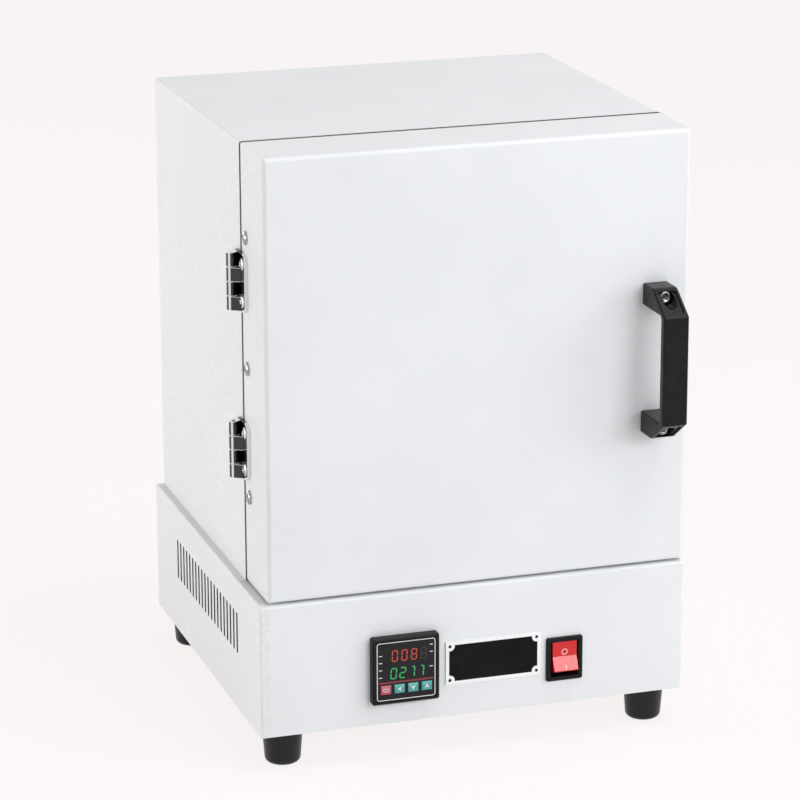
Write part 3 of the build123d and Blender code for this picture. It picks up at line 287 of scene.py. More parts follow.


# Polished hinge of dark metal with painted highlights: bright lines at the ends of the knuckles, bright rims
# on the leaves and a bright stripe along the knuckles
hingeSteelAndHighlights = {
    "dark": (0.035, 0.035, 0.037),
    "mid": (0.085, 0.085, 0.087),
    "bright": (0.78, 0.77, 0.75),
    "knuckle": 10.0,  # length of a knuckle
    "line": (0.25, 0.6),  # width of the painted highlight line at a knuckle's end, and where that has faded out
    "leaf": 2.5,  # the leaves' outer face, out from the door's side
    "lineStart": (0.4, 0.1),  # the painted highlight lines stop over this stretch before that face
    "rim": (6.8, 8.2),  # the painted highlight on the leaves' rims comes in, from the pin's axis
    "crest": 6.6,  # painted highlight stripe on the knuckles, out from the leaves' face
    "crestWidth": (0.3, 0.9),
    "roughness": (0.12, 0.192),
    "depth": 0.001,
}


def hingeWithPaintedHighlights(name, doorLeaf):
    f = Finish(name)
    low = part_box(doorLeaf)[0]
    leafFace = doorLow.x - hingeSteelAndHighlights["leaf"] * mm
    outward = f.axis(0)
    fromEnd = f.maths("PINGPONG", f.axis(2) - low.z, hingeSteelAndHighlights["knuckle"] / 2 * mm)
    ends = f.between(fromEnd, *(part * mm for part in hingeSteelAndHighlights["line"]), 1.0, 0.0)
    ends = ends * f.between(outward, *(leafFace - part * mm for part in hingeSteelAndHighlights["lineStart"]), 1.0, 0.0)
    fromAxis = abs(f.axis(1) - (doorHigh.y + bodyLow.y) / 2)
    rim = f.between(fromAxis, *(part * mm for part in hingeSteelAndHighlights["rim"]))
    fromCrest = abs(outward - (leafFace - hingeSteelAndHighlights["crest"] * mm))
    crest = f.between(fromCrest, *(part * mm for part in hingeSteelAndHighlights["crestWidth"]), 1.0, 0.0)
    bright = f.maths("MAXIMUM", f.maths("MAXIMUM", ends, rim), crest)
    hair = hairLines(f)
    tone = f.mix(hair, hingeSteelAndHighlights["dark"], hingeSteelAndHighlights["mid"])
    return f.surface({
        # painted highlights laid over the dark metal
        "Base Color": f.mix(bright, tone, hingeSteelAndHighlights["bright"]),
        "Metallic": 1.0,
        "Roughness": f.between(hair, 0.3, 0.7, *hingeSteelAndHighlights["roughness"]),
        "Normal": f.bump(hair, hingeSteelAndHighlights["depth"]),
    })


aluminium = {"dark": (0.50, 0.505, 0.51), "light": (0.66, 0.665, 0.67), "roughness": (0.36, 0.5),
             "depth": 0.01, "draw": 0.8, "plain": {"Metallic": 1.0}}


# Extruded front to back, so its lines run along y
def heatsinkMetal():
    f = Finish("extruded aluminium")
    drawn = f.noise(aluminium["draw"], 4, 0.6, f.stretched((1.0, 0.03, 1.0)))
    return f.dressed(aluminium, drawn, drawn, drawn)


# Moulded and enamelled pieces; grain is the width of the finest texture
plastics = {
    "black_plastic": {
        "name": "black plastic", "dark": (0.007, 0.007, 0.008), "light": (0.013, 0.013, 0.014),
        "roughness": (0.32, 0.42), "grain": 0.45, "depth": 0.010, "plain": {"Specular IOR Level": 0.13}},
    "handle_plastic": {
        "name": "handle nylon", "dark": (0.006, 0.006, 0.0065), "light": (0.010, 0.010, 0.0105),
        "roughness": (0.22, 0.32), "grain": 0.5, "depth": 0.006, "plain": {"Specular IOR Level": 0.17}},
    "display_window": {
        "name": "display window", "dark": (0.013, 0.012, 0.014), "light": (0.018, 0.016, 0.019),
        "roughness": (0.2, 0.3), "grain": 0.8, "depth": 0.002, "plain": {"Specular IOR Level": 0.18}},
    "black_plate": {
        "name": "black enamel", "dark": (0.007, 0.0065, 0.007), "light": (0.011, 0.010, 0.011),
        "roughness": (0.46, 0.56), "grain": 0.6, "depth": 0.004, "plain": {"Specular IOR Level": 0.06}},
    "red_rocker": {
        "name": "red rocker", "dark": (0.60, 0.003, 0.004), "light": (0.68, 0.005, 0.007),
        "roughness": (0.12, 0.22), "grain": 0.9, "depth": 0.001,
        "plain": {"Specular IOR Level": 0.5, "Coat Weight": 0.1, "Coat Roughness": 0.08}},
    "relay_plastic": {
        "name": "relay plastic", "dark": (0.62, 0.61, 0.58), "light": (0.70, 0.69, 0.66),
        "roughness": (0.4, 0.5), "grain": 0.5, "depth": 0.01},
    "magnet": {
        "name": "ferrite magnet", "dark": (0.035, 0.034, 0.034), "light": (0.06, 0.058, 0.056),
        "roughness": (0.5, 0.6), "grain": 0.3, "depth": 0.02},
}


def mouldedPlastic(look):
    f = Finish(look["name"])
    mottle = f.noise(14.0, 3, 0.55)
    fine = f.noise(look["grain"], 3, 0.6)
    return f.dressed(look, f.between(mottle * 0.6 + fine * 0.4, 0.35, 0.65), fine, fine)


rubber = {"dark": (0.007, 0.007, 0.0075), "light": (0.04, 0.039, 0.037), "roughness": (0.26, 0.4),
          "depth": 0.008, "dust": 0.4, "dustHeight": 5.0, "plain": {"Specular IOR Level": 0.3}}


# Black feet with some dust near the floor
def softRubber():
    f = Finish("foot rubber")
    mottle = f.noise(9.0, 4, 0.6)
    fine = f.noise(0.5, 3, 0.6)
    nearFloor = f.between(f.axis(2), 0.0, rubber["dustHeight"] * mm, 1.0, 0.0)
    dust = nearFloor * f.between(mottle, 0.4, 0.7)
    return f.dressed(rubber, dust * rubber["dust"], fine * 0.5 + mottle * 0.5, fine)


silicone = {
    "pink_key": {"name": "pink key", "node": "key_set",
                 "dark": (0.42, 0.05, 0.085), "light": (0.60, 0.18, 0.21)},
    "teal_key": {"name": "teal key", "node": "key_up",
                 "dark": (0.045, 0.28, 0.27), "light": (0.16, 0.48, 0.46)},
}


# Key with a painted highlight: lighter from its middle towards its top edge
def keyWithPaintedHighlight(look):
    low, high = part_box(look["node"])
    f = Finish(look["name"])
    fine = f.noise(0.25, 3, 0.6)
    # painted highlight that rises towards the key's top edge
    rise = f.between(f.axis(2), (low.z + high.z) / 2, high.z - 0.6 * mm)
    look = {**look, "roughness": (0.38, 0.5), "depth": 0.006}
    return f.dressed(look, rise * 0.7 + fine * 0.3, fine, fine)


fibre = {"dark": (0.74, 0.715, 0.66), "light": (0.80, 0.785, 0.74), "roughness": (0.86, 0.98),
         "depth": 0.35, "strand": 1.6, "clump": 11.0, "pit": 2.6}


def fibreBoard():
    f = Finish("ceramic fibre board")
    strands = f.noise(fibre["strand"], 6, 0.72, f.stretched((1.0, 1.0, 0.4)))
    clumps = f.noise(fibre["clump"], 4, 0.6)
    pits = f.cells(fibre["pit"], "SMOOTH_F1")
    return f.dressed(fibre, f.between(clumps, 0.35, 0.7), strands, strands * 0.7 + pits * 0.3)


gasket = {"dark": (0.52, 0.50, 0.46), "light": (0.76, 0.74, 0.69), "roughness": (0.85, 0.97),
          "depth": 0.25, "thread": 1.6, "fuzz": 0.5}


def fibreGasket():
    f = Finish("fibre gasket")
    weave = f.bands(gasket["thread"], "X", 1.2) * f.bands(gasket["thread"], "Z", 1.2)
    fuzz = f.noise(gasket["fuzz"], 4, 0.7)
    return f.dressed(gasket, weave * 0.7 + fuzz * 0.3, fuzz, weave * 0.8 + fuzz * 0.2)


sleeve = {"dark": (0.48, 0.46, 0.42), "light": (0.74, 0.72, 0.67), "roughness": (0.7, 0.85),
          "depth": 0.12, "fuzz": 0.4}


def braidedSleeve():
    f = Finish("braided glass sleeve")
    weave = f.bands(1.1, "DIAGONAL", 0.6) * f.bands(1.3, "Z", 0.8)
    fuzz = f.noise(sleeve["fuzz"], 3, 0.6)
    return f.dressed(sleeve, weave * 0.6 + fuzz * 0.4, fuzz, weave)


scaledWire = {"dark": (0.13, 0.125, 0.12), "light": (0.30, 0.285, 0.265), "roughness": (0.42, 0.62),
              "depth": 0.03, "scale": 2.4, "plain": {"Metallic": 0.6}}


def elementWire():
    f = Finish("oxidised element wire")
    scale = f.noise(scaledWire["scale"], 5, 0.65)
    return f.dressed(scaledWire, f.between(scale, 0.35, 0.7), scale, scale)


cordierite = {"dark": (0.50, 0.43, 0.33), "light": (0.70, 0.63, 0.52), "roughness": (0.78, 0.92),
              "depth": 0.15, "speck": 1.9, "cloud": 24.0, "pore": 0.8}


def hearthPlate():
    f = Finish("cordierite plate")
    specks = f.between(f.cells(cordierite["speck"]), 0.1, 0.5)
    cloud = f.noise(cordierite["cloud"], 4, 0.6)
    pores = f.noise(cordierite["pore"], 4, 0.7)
    return f.dressed(cordierite, cloud * 0.6 + specks * 0.4, pores, pores)


sheath = {"dark": (0.20, 0.17, 0.15), "light": (0.52, 0.51, 0.50), "roughness": (0.3, 0.46),
          "depth": 0.02, "fade": (50.0, 100.0), "plain": {"Metallic": 0.9}}


# Thermocouple tube, brown where it stands in the chamber, up to where it fades along y
def probeSheath():
    f = Finish("probe sheath")
    cool = f.between(f.axis(1), *(part * mm for part in sheath["fade"]))
    worn = f.noise(3.0, 4, 0.6)
    return f.dressed(sheath, cool * 0.8 + worn * 0.2, worn, worn)


board = {"dark": (0.01, 0.10, 0.04), "light": (0.05, 0.26, 0.10), "roughness": (0.3, 0.45), "depth": 0.03}


def circuitBoard():
    f = Finish("circuit board")
    tracks = f.between(f.bands(1.8, "X", 3.0), 0.55, 0.7)
    fine = f.noise(0.6, 2, 0.5)
    return f.dressed(board, tracks * 0.8 + fine * 0.2, fine, tracks)


# Printed mark, or a lit segment with a glow of its own
def printedInk(name, colour, roughness=(0.45, 0.55), glow=0.0):
    f = Finish(name)
    fine = f.noise(0.3, 3, 0.6)
    tone = f.mix(fine, tuple(0.86 * part for part in colour), colour)
    sockets = {"Base Color": tone, "Roughness": f.between(fine, 0.3, 0.7, *roughness)}
    if glow:
        sockets["Emission Color"] = tone
        sockets["Emission Strength"] = glow
    return f.surface(sockets)


# One finish for each material slot of the model, and one for the hinge screws
finishes = {
    "coated_sheet": coatedSheet(),
    "plain_sheet": plainSheet(),
    "stainless_sheet": stainlessSheet(),
    "polished_hinge": hingeWithPaintedHighlights("polished hinge", "hinge_upper_door_leaf"),
    "heatsink_metal": heatsinkMetal(),
    "rubber": softRubber(),
    "fibre_board": fibreBoard(),
    "fibre_gasket": fibreGasket(),
    "lead_cover": braidedSleeve(),
    "element_wire": elementWire(),
    "hearth": hearthPlate(),
    "sheath": probeSheath(),
    "circuit_board": circuitBoard(),
}
finishes.update({slotName: polishedMetal(look) for slotName, look in metals.items()})
finishes.update({slotName: mouldedPlastic(look) for slotName, look in plastics.items()})
finishes.update({slotName: keyWithPaintedHighlight(look) for slotName, look in silicone.items()})
lowerHinge = hingeWithPaintedHighlights("polished lower hinge", "hinge_lower_door_leaf")

for node in nodes.values():
    for slot in node.material_slots:
        slotName = slot.material.name.split(".")[0]
        onLower = slotName == "polished_hinge" and node.name.startswith("hinge_lower")
        slot.material = lowerHinge if onLower else finishes[slotName]
print("finishes made:", len(finishes))


# Turns a bmesh into a piece that rides on a body
def addPiece(name, bm, body, finish, replaced=(), sharpAngle=35):
    bmesh.ops.recalc_face_normals(bm, faces=bm.faces)
    mesh = bpy.data.meshes.new(name)
    bm.to_mesh(mesh)
    bm.free()
    mesh.shade_smooth()
    mesh.set_sharp_from_angle(angle=math.radians(sharpAngle))
    mesh.materials.append(finish)
    piece = bpy.data.objects.new(name, mesh)
    scene.collection.objects.link(piece)
    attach(piece, body)
    if replaced:
        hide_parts(*replaced)


# Lowest and highest corner of each separate solid in a node
def solidBoxes(nodeName):
    bm = bmesh.new()
    bm.from_mesh(nodes[nodeName].data)
    bmesh.ops.remove_doubles(bm, verts=bm.verts, dist=0.001 * mm)
    left = set(bm.verts)
    boxes = []
    while left:
        group, edge = [], [left.pop()]
        while edge:
            vert = edge.pop()
            group.append(vert.co.copy())
            for link in vert.link_edges:
                other = link.other_vert(vert)
                if other in left:
                    left.remove(other)
                    edge.append(other)
        low = Vector([min(co[i] for co in group) for i in range(3)])
        high = Vector([max(co[i] for co in group) for i in range(3)])
        boxes.append((low, high))
    bm.free()
    return sorted(boxes, key=lambda box: tuple(box[0]))


# Matrix whose Z runs along outward, for parts that are turned about it
def turnedAt(centre, outward):
    up = Vector((0, 0, 1)) if abs(outward.z) < 0.5 else Vector((0, 1, 0))
    side = up.cross(outward).normalized()
    rise = outward.cross(side)
    matrix = Matrix((side, rise, outward)).transposed().to_4x4()
    matrix.translation = centre
    return matrix


# Outlines give the share of the radius that a loop has at an angle
def roundOutline(angle):
    return 1.0


def hexOutline(angle):
    return math.cos(math.pi / 6) / math.cos(angle % (math.pi / 3) - math.pi / 6)


def ribbedOutline(count, depth):
    return lambda angle: 1 - depth * (0.5 - 0.5 * math.cos(count * angle)) ** 2


# Loop of vertices round the matrix's Z, in millimetres; dent(x, y) is taken off its height
def addLoop(bm, matrix, spokes, height, radius, outline=roundOutline, dent=None):
    loop = []
    for n in range(spokes):
        angle = 2 * math.pi * n / spokes
        reach = radius * outline(angle)
        x, y = reach * math.cos(angle), reach * math.sin(angle)
        rise = height - dent(x, y) if dent else height
        loop.append(bm.verts.new(matrix @ (Vector((x, y, rise)) * mm)))
    return loop


def joinLoops(bm, loops):
    for first, second in zip(loops, loops[1:]):
        for n in range(len(first)):
            m = (n + 1) % len(first)
            bm.faces.new((first[n], first[m], second[m], second[n]))


def closeEnds(bm, loops):
    bm.faces.new(loops[0])
    bm.faces.new(list(reversed(loops[-1])))


# Screws with a cross recess, in millimetres; reach is how far the shank goes in
panHead = {"radius": 4.9, "rim": 0.5, "dome": 2.0, "recess": 2.3, "slot": 0.62, "depth": 1.5,
           "cone": 0.02, "shank": 1.9, "reach": 2.5}
rearHead = {"radius": 3.5, "rim": 0.5, "dome": 1.7, "recess": 1.9, "slot": 0.5, "depth": 1.3,
            "cone": 0.02, "shank": 1.5, "reach": 3.0}
flushHead = {"radius": 4.2, "rim": 0.2, "dome": 0.8, "recess": 2.2, "slot": 0.55, "depth": 1.1,
             "cone": 2.0, "shank": 1.6, "reach": 4.2}
screwMesh = {"spokes": 64, "rings": 22, "firstTurn": 0.5, "nextTurn": 1.1}


def smoothStep(value, low, high):
    t = min(1.0, max(0.0, (value - low) / (high - low)))
    return t * t * (3 - 2 * t)


# Depth of a cross recess, 1 at its floor; its arms narrow a little towards their ends
def crossRecess(x, y, recess, slot):
    arms = []
    for along, across in ((abs(x), abs(y)), (abs(y), abs(x))):
        width = slot * (1.15 - 0.35 * along / recess)
        arms.append((1 - smoothStep(across, width - 0.1, width + 0.06))
                    * (1 - smoothStep(along, recess * 0.45, recess)))
    return max(arms)


# Head with its seat at the matrix's origin; it looks along Z
def addScrew(bm, matrix, spec, turn):
    def dent(x, y):
        return spec["depth"] * crossRecess(x, y, spec["recess"], spec["slot"])

    spokes, ringCount = screwMesh["spokes"], screwMesh["rings"]
    spin = matrix @ Matrix.Rotation(turn, 4, "Z")
    centre = bm.verts.new(spin @ (Vector((0, 0, spec["rim"] + spec["dome"] - spec["depth"])) * mm))
    loops = []
    for k in range(1, ringCount + 1):
        reach = spec["radius"] * k / ringCount
        fall = 1 - math.sqrt(max(0.0, 1 - (reach / spec["radius"]) ** 2 * 0.98))
        loops.append(addLoop(bm, spin, spokes, spec["rim"] + spec["dome"] * (1 - fall), reach, dent=dent))
    below = ((0.0, spec["radius"]), (-spec["cone"], spec["shank"]), (-spec["reach"], spec["shank"]))
    loops += [addLoop(bm, spin, spokes, height, reach) for height, reach in below]
    for n in range(spokes):
        bm.faces.new((centre, loops[0][n], loops[0][(n + 1) % spokes]))
    joinLoops(bm, loops)
    bm.faces.new(loops[-1])


# seat(low, high) gives the point under the head and the way that the head looks
def screwSet(name, nodeName, body, spec, seat, finish):
    bm = bmesh.new()
    for count, (low, high) in enumerate(solidBoxes(nodeName)):
        turn = screwMesh["firstTurn"] + screwMesh["nextTurn"] * count
        addScrew(bm, turnedAt(*seat(low, high)), spec, turn)
    addPiece(name, bm, body, finishes[finish], [nodeName], 50)


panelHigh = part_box("base_rear_panel")[1]


def flangeSeat(low, high):
    middle = (low + high) / 2
    if middle.x < (doorLow.x + doorHigh.x) / 2:
        return Vector((doorLow.x, middle.y, middle.z)), Vector((-1, 0, 0))
    return Vector((doorHigh.x, middle.y, middle.z)), Vector((1, 0, 0))


def rearSeat(low, high):
    middle = (low + high) / 2
    return Vector((middle.x, panelHigh.y, middle.z)), Vector((0, 1, 0))


def leafSeat(low, high):
    middle = (low + high) / 2
    return Vector((low.x, middle.y, middle.z)), Vector((-1, 0, 0))


screwSet("door_flange_screws", "door_side_screws", "door", panHead, flangeSeat, "steel_fasteners")
screwSet("rear_cover_screws", "rear_screws", "cabinet", rearHead, rearSeat, "steel_fasteners")
screwSet("hinge_screws_on_door", "hinge_door_screws", "door", flushHead, leafSeat, "hinge_screw")
screwSet("hinge_screws_on_body", "hinge_body_screws", "cabinet", flushHead, leafSeat, "hinge_screw")

# Socket cap screws in the pockets of the handle
capScrew = {
    "spokes": 144,
    "radius": 4.3,
    "head": 5.3,  # height of the head
    "chamfer": 0.5,
    "knurls": 36,
    "knurlDepth": 0.035,
    "socket": 2.3,
    "socketDepth": 2.6,
    "socketLip": (0.25, 0.3),  # depth and width of the socket's bevel
    "shank": 2.4,
}


def handleScrews():
    bm = bmesh.new()
    knurled = ribbedOutline(capScrew["knurls"], capScrew["knurlDepth"])
    head, radius, chamfer = capScrew["head"], capScrew["radius"], capScrew["chamfer"]
    socket, socketDepth, shank = capScrew["socket"], capScrew["socketDepth"], capScrew["shank"]
    lipDepth, lipWidth = capScrew["socketLip"]
    for low, high in solidBoxes("handle_screws"):
        middle = (low + high) / 2
        reach = (high.y - low.y) / mm
        rings = [
            (-socketDepth, socket * 0.4, hexOutline),
            (-socketDepth, socket, hexOutline),
            (-lipDepth, socket, hexOutline),
            (0.0, socket + lipWidth, roundOutline),
            (0.0, radius - chamfer, roundOutline),
            (-chamfer * 0.3, radius - chamfer * 0.3, roundOutline),
            (-chamfer, radius, knurled),
            (-head, radius, knurled),
            (-head, shank, roundOutline),
            (-reach, shank, roundOutline),
        ]
        matrix = turnedAt(Vector((middle.x, low.y, middle.z)), Vector((0, -1, 0)))
        loops = [addLoop(bm, matrix, capScrew["spokes"], *ring) for ring in rings]
        joinLoops(bm, loops)
        closeEnds(bm, loops)
    addPiece("handle_cap_screws", bm, "door", finishes["handle_fasteners"],
             ["handle_screws"])


handleScrews()

# Cable gland; the nut's rings are (back from its front, radius), the others (out from the panel, radius)
gland = {
    "spokes": 144,
    "ribs": 24,
    "ribDepth": 0.07,
    "bore": 4.05,
    "bevel": 0.01,
    "mouth": ((3.0, 4.05), (0.6, 5.0), (0.0, 6.6), (0.8, 8.6)),
    "nutFront": ((2.4, 10.0), (4.0, 10.4)),
    "nutBack": (6.4, 10.4),
    "neck": ((6.0, 9.6), (5.2, 9.6)),
    "hexagon": ((5.0, 11.2), (4.6, 11.9), (0.6, 11.9)),
    "seat": ((0.3, 11.0), (0.0, 11.0), (0.0, 7.9)),
    "thread": 7.9,
    "threadDepth": 0.7,
    "threadPitch": 1.5,
    "threadStart": 2.2,  # behind the panel's face
}


# Hollow, from its bore round its mouth and nut to the thread inside the base
def cableGland():
    low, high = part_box("cable_gland")
    middle = (low + high) / 2
    wall = panelHigh.y
    front = (high.y - wall) / mm
    back = (low.y - wall) / mm
    ribbed = ribbedOutline(gland["ribs"], gland["ribDepth"])
    thread, pitch = gland["thread"], gland["threadPitch"]
    root = thread - gland["threadDepth"]
    rings = [(back + gland["bevel"], gland["bore"], roundOutline)]
    rings += [(front - depth, radius, roundOutline) for depth, radius in gland["mouth"]]
    rings += [(front - depth, radius, ribbed) for depth, radius in gland["nutFront"]]
    rings += [(*gland["nutBack"], ribbed)]
    rings += [(height, radius, roundOutline) for height, radius in gland["neck"]]
    rings += [(height, radius, hexOutline) for height, radius in gland["hexagon"]]
    rings += [(height, radius, roundOutline) for height, radius in gland["seat"]]
    height = -gland["threadStart"]
    while height > back + pitch:
        rings.append((height, thread, roundOutline))
        rings.append((height - 0.5 * pitch, root, roundOutline))
        height -= pitch
    rings.append((back, root, roundOutline))
    matrix = turnedAt(Vector((middle.x, wall, middle.z)), Vector((0, 1, 0)))
    bm = bmesh.new()
    loops = [addLoop(bm, matrix, gland["spokes"], *ring) for ring in rings]
    joinLoops(bm, loops + loops[:1])
    addPiece("cord_gland", bm, "cabinet", finishes["black_plastic"], ["cable_gland"])


cableGland()
print("screws and gland made")


# Depth of a node's front at a point of the front view
def frontDepth(nodeName, x, z):
    start = Vector((x * mm, cadBounds[0].y - 10 * mm, z * mm))
    hit, place = nodes[nodeName].ray_cast(start, Vector((0, 1, 0)))[:2]
    if not hit:
        raise ValueError("a mark misses " + nodeName)
    return place.y


# Flat cells of (x, z) points in millimetres, raised from the front of a node
def stamp(name, cells, nodeName, body, slotName, finish, proud=0.05, sunk=0.1):
    bm = bmesh.new()
    for cell in cells:
        bm.faces.new([bm.verts.new((x, 0, z)) for x, z in cell])
    bmesh.ops.remove_doubles(bm, verts=bm.verts, dist=0.001)
    bmesh.ops.recalc_face_normals(bm, faces=bm.faces)
    fronts = list(bm.verts)
    raised = bmesh.ops.extrude_face_region(bm, geom=list(bm.faces))
    backs = [item for item in raised["geom"] if isinstance(item, bmesh.types.BMVert)]
    for verts, offset in ((fronts, -proud), (backs, sunk)):
        for vert in verts:
            depth = frontDepth(nodeName, vert.co.x, vert.co.z)
            vert.co = Vector((vert.co.x * mm, depth + offset * mm, vert.co.z * mm))
    addPiece(name, bm, body, finish)


def rectangle(left, low, right, high):
    return [(left, low), (right, low), (right, high), (left, high)]


# Points round a rectangle with rounded corners
def roundedRectangle(centreX, centreZ, width, height, radius, steps=8):
    points = []
    for corner, (signX, signZ) in enumerate(((1, 1), (-1, 1), (-1, -1), (1, -1))):
        for step in range(steps + 1):
            angle = math.radians(90 * corner + 90 * step / steps)
            points.append((centreX + signX * (width / 2 - radius) + radius * math.cos(angle),
                           centreZ + signZ * (height / 2 - radius) + radius * math.sin(angle)))
    return points


def circlePoints(centreX, centreZ, radius, steps=48):
    angles = [math.radians(360 * n / steps) for n in range(steps)]
    return [(centreX + radius * math.cos(a), centreZ + radius * math.sin(a)) for a in angles]


# Cells between two outlines of as many points
def ringCells(outer, inner):
    count = len(outer)
    return [(outer[n], outer[(n + 1) % count], inner[(n + 1) % count], inner[n]) for n in range(count)]


# Marks on the window of the temperature controller, in millimetres
display = {
    "upper": {"text": "008", "x": -61.4, "z": 72.9,
              "width": 4.4, "height": 8.3, "pitch": 6.9, "slant": 0.05},
    "lower": {"text": "0211", "x": -62.5, "z": 60.4,
              "width": 4.6, "height": 8.0, "pitch": 6.5, "slant": 0.09},
    "stroke": 0.82,
    "gap": 0.14,  # between the ends of two segments and their corner
    "red": (0.42, 0.04, 0.015),
    "redGlow": 0.42,
    "green": (0.02, 0.33, 0.085),
    "greenGlow": 0.5,
    "unlit": (0.024, 0.020, 0.021),
    "line": (0.78, 0.78, 0.78),
    "lineSize": 42.0,
    "lineWidth": 0.55,
    "lineCorner": 2.0,
    "stripe": (0.22, 0.025, 0.035),
    "stripeX": (-71.0, -31.4),
    "stripeZ": (57.45, 58.75),
    "lamps": ((-70.4, (77.6, 72.4, 67.2, 61.8)), (-34.0, (82.4, 77.2, 66.6))),  # x, and each z
    "lampSize": (2.3, 0.6),
}

# Segments as (start, end) in a box one wide and two tall; h is the top of a 1
segmentPlaces = {
    "a": ((0, 2), (1, 2)), "b": ((1, 2), (1, 1)), "c": ((1, 1), (1, 0)), "d": ((0, 0), (1, 0)),
    "e": ((0, 1), (0, 0)), "f": ((0, 2), (0, 1)), "g": ((0, 1), (1, 1)), "h": ((0.4, 2), (1, 2)),
}
digitSegments = {"0": "abcdef", "1": "bch", "2": "abged", "8": "abcdefg"}


# Six-sided cell of each lit segment
def digitCells(letter, x, z, row):
    half = display["stroke"] / 2
    spanX = row["width"] - display["stroke"]
    spanZ = (row["height"] - display["stroke"]) / 2
    cells = []
    for name in digitSegments[letter]:
        (ax, az), (bx, bz) = segmentPlaces[name]
        start = Vector((x + half + ax * spanX, z + half + az * spanZ))
        end = Vector((x + half + bx * spanX, z + half + bz * spanZ))
        along = (end - start).normalized()
        across = Vector((-along.y, along.x)) * half
        start += along * display["gap"]
        end -= along * display["gap"]
        inner, outer = start + along * half, end - along * half
        outline = [start, inner + across, outer + across, end, outer - across, inner - across]
        cells.append([(p.x + row["slant"] * (p.y - z), p.y) for p in outline])
    return cells


def rowCells(row, text, first=0):
    cells = []
    for n, letter in enumerate(text):
        cells += digitCells(letter, row["x"] + (first + n) * row["pitch"], row["z"], row)
    return cells


def printOnWindow(name, cells, ink):
    stamp(name, cells, "controller_window", "cabinet", "display_window", ink)


def windowLine():
    low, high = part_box("controller_case")
    x, z = (low.x + high.x) / 2 / mm, (low.z + high.z) / 2 / mm
    size, width, corner = display["lineSize"], display["lineWidth"], display["lineCorner"]
    inside = size - 2 * width
    outer = roundedRectangle(x, z, size, size, corner)
    inner = roundedRectangle(x, z, inside, inside, corner - width)
    printOnWindow("window_line", ringCells(outer, inner), paleInk)


def controllerMarks():
    red = printedInk("red segments", display["red"], (0.4, 0.5), display["redGlow"])
    green = printedInk("green segments", display["green"], (0.4, 0.5), display["greenGlow"])
    upper, lower = display["upper"], display["lower"]
    printOnWindow("digits_upper", rowCells(upper, upper["text"]), red)
    printOnWindow("digits_lower", rowCells(lower, lower["text"]), green)
    printOnWindow("digit_unlit", rowCells(upper, "8", 3), printedInk("unlit segments", display["unlit"]))
    windowLine()
    (left, right), (low, high) = display["stripeX"], display["stripeZ"]
    stripe = [rectangle(left, low, right, high)]
    printOnWindow("window_stripe", stripe, printedInk("stripe ink", display["stripe"]))
    wide, tall = display["lampSize"]
    bars = [rectangle(x, z, x + wide, z + tall) for x, heights in display["lamps"] for z in heights]
    printOnWindow("lamp_bars", bars, paleInk)


paleInk = printedInk("pale ink", display["line"])
controllerMarks()

arrow = {"reach": 1.75, "spread": 1.8, "notch": 0.5}
keyArrows = {"key_shift": (-1, 0), "key_down": (0, -1), "key_up": (0, 1)}
keyRings = {"shift": 1.0, "outer": 1.25, "inner": 0.8, "steps": 24}
keyPrint = {"proud": 0.04, "sunk": 0.05}


# Arrowhead that points along (dx, dz)
def arrowCells(x, z, dx, dz):
    def at(forward, aside):
        return (x + dx * forward - dz * aside, z + dz * forward + dx * aside)

    tip, notch = at(arrow["reach"], 0), at(-arrow["notch"], 0)
    wings = at(-arrow["reach"], arrow["spread"]), at(-arrow["reach"], -arrow["spread"])
    return [[tip, wings[0], notch], [tip, notch, wings[1]]]


def keyMiddle(keyName):
    low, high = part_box(keyName)
    return (low.x + high.x) / 2 / mm, (low.z + high.z) / 2 / mm


def keyMarks():
    for keyName, (dx, dz) in keyArrows.items():
        cells = arrowCells(*keyMiddle(keyName), dx, dz)
        stamp(keyName + "_mark", cells, keyName, keyName, "teal_key", paleInk, **keyPrint)
    x, z = keyMiddle("key_set")
    cells = []
    for shift in (-keyRings["shift"], keyRings["shift"]):
        outer = circlePoints(x + shift, z, keyRings["outer"], keyRings["steps"])
        inner = circlePoints(x + shift, z, keyRings["inner"], keyRings["steps"])
        cells += ringCells(outer, inner)
    stamp("key_set_mark", cells, "key_set", "key_set", "pink_key", paleInk, **keyPrint)


keyMarks()
print("controller marks made")

# White border round the nameplate's black field, which goes round the four fixings
border = {
    "skirt": 0.04,  # past the plate's edges
    "proud": 0.05,
    "sunk": 0.02,
    "side": 2.3,
    "inset": (2.9, 3.15),  # the fixings' middles, in from the edges
    "notch": 3.4,  # radius of the white round a fixing
    "notchSteps": 12,
    "fixing": 1.15,
    "fixingSteps": 24,
    "white": (0.95, 0.95, 0.95),
}


# Arc round a fixing, between the two sides of the field that it cuts
def notchPoints(cx, cz, edgeX, edgeZ, signX, signZ):
    radius, steps = border["notch"], border["notchSteps"]
    onSide = (edgeX, cz + signZ * math.sqrt(radius ** 2 - (edgeX - cx) ** 2))
    onTop = (cx + signX * math.sqrt(radius ** 2 - (edgeZ - cz) ** 2), edgeZ)
    first, last = (onSide, onTop) if signX * signZ > 0 else (onTop, onSide)
    startAngle = math.atan2(first[1] - cz, first[0] - cx)
    endAngle = math.atan2(last[1] - cz, last[0] - cx)
    sweep = (endAngle - startAngle + math.pi) % (2 * math.pi) - math.pi
    angles = [startAngle + sweep * n / steps for n in range(steps + 1)]
    return [(cx + radius * math.cos(angle), cz + radius * math.sin(angle)) for angle in angles]


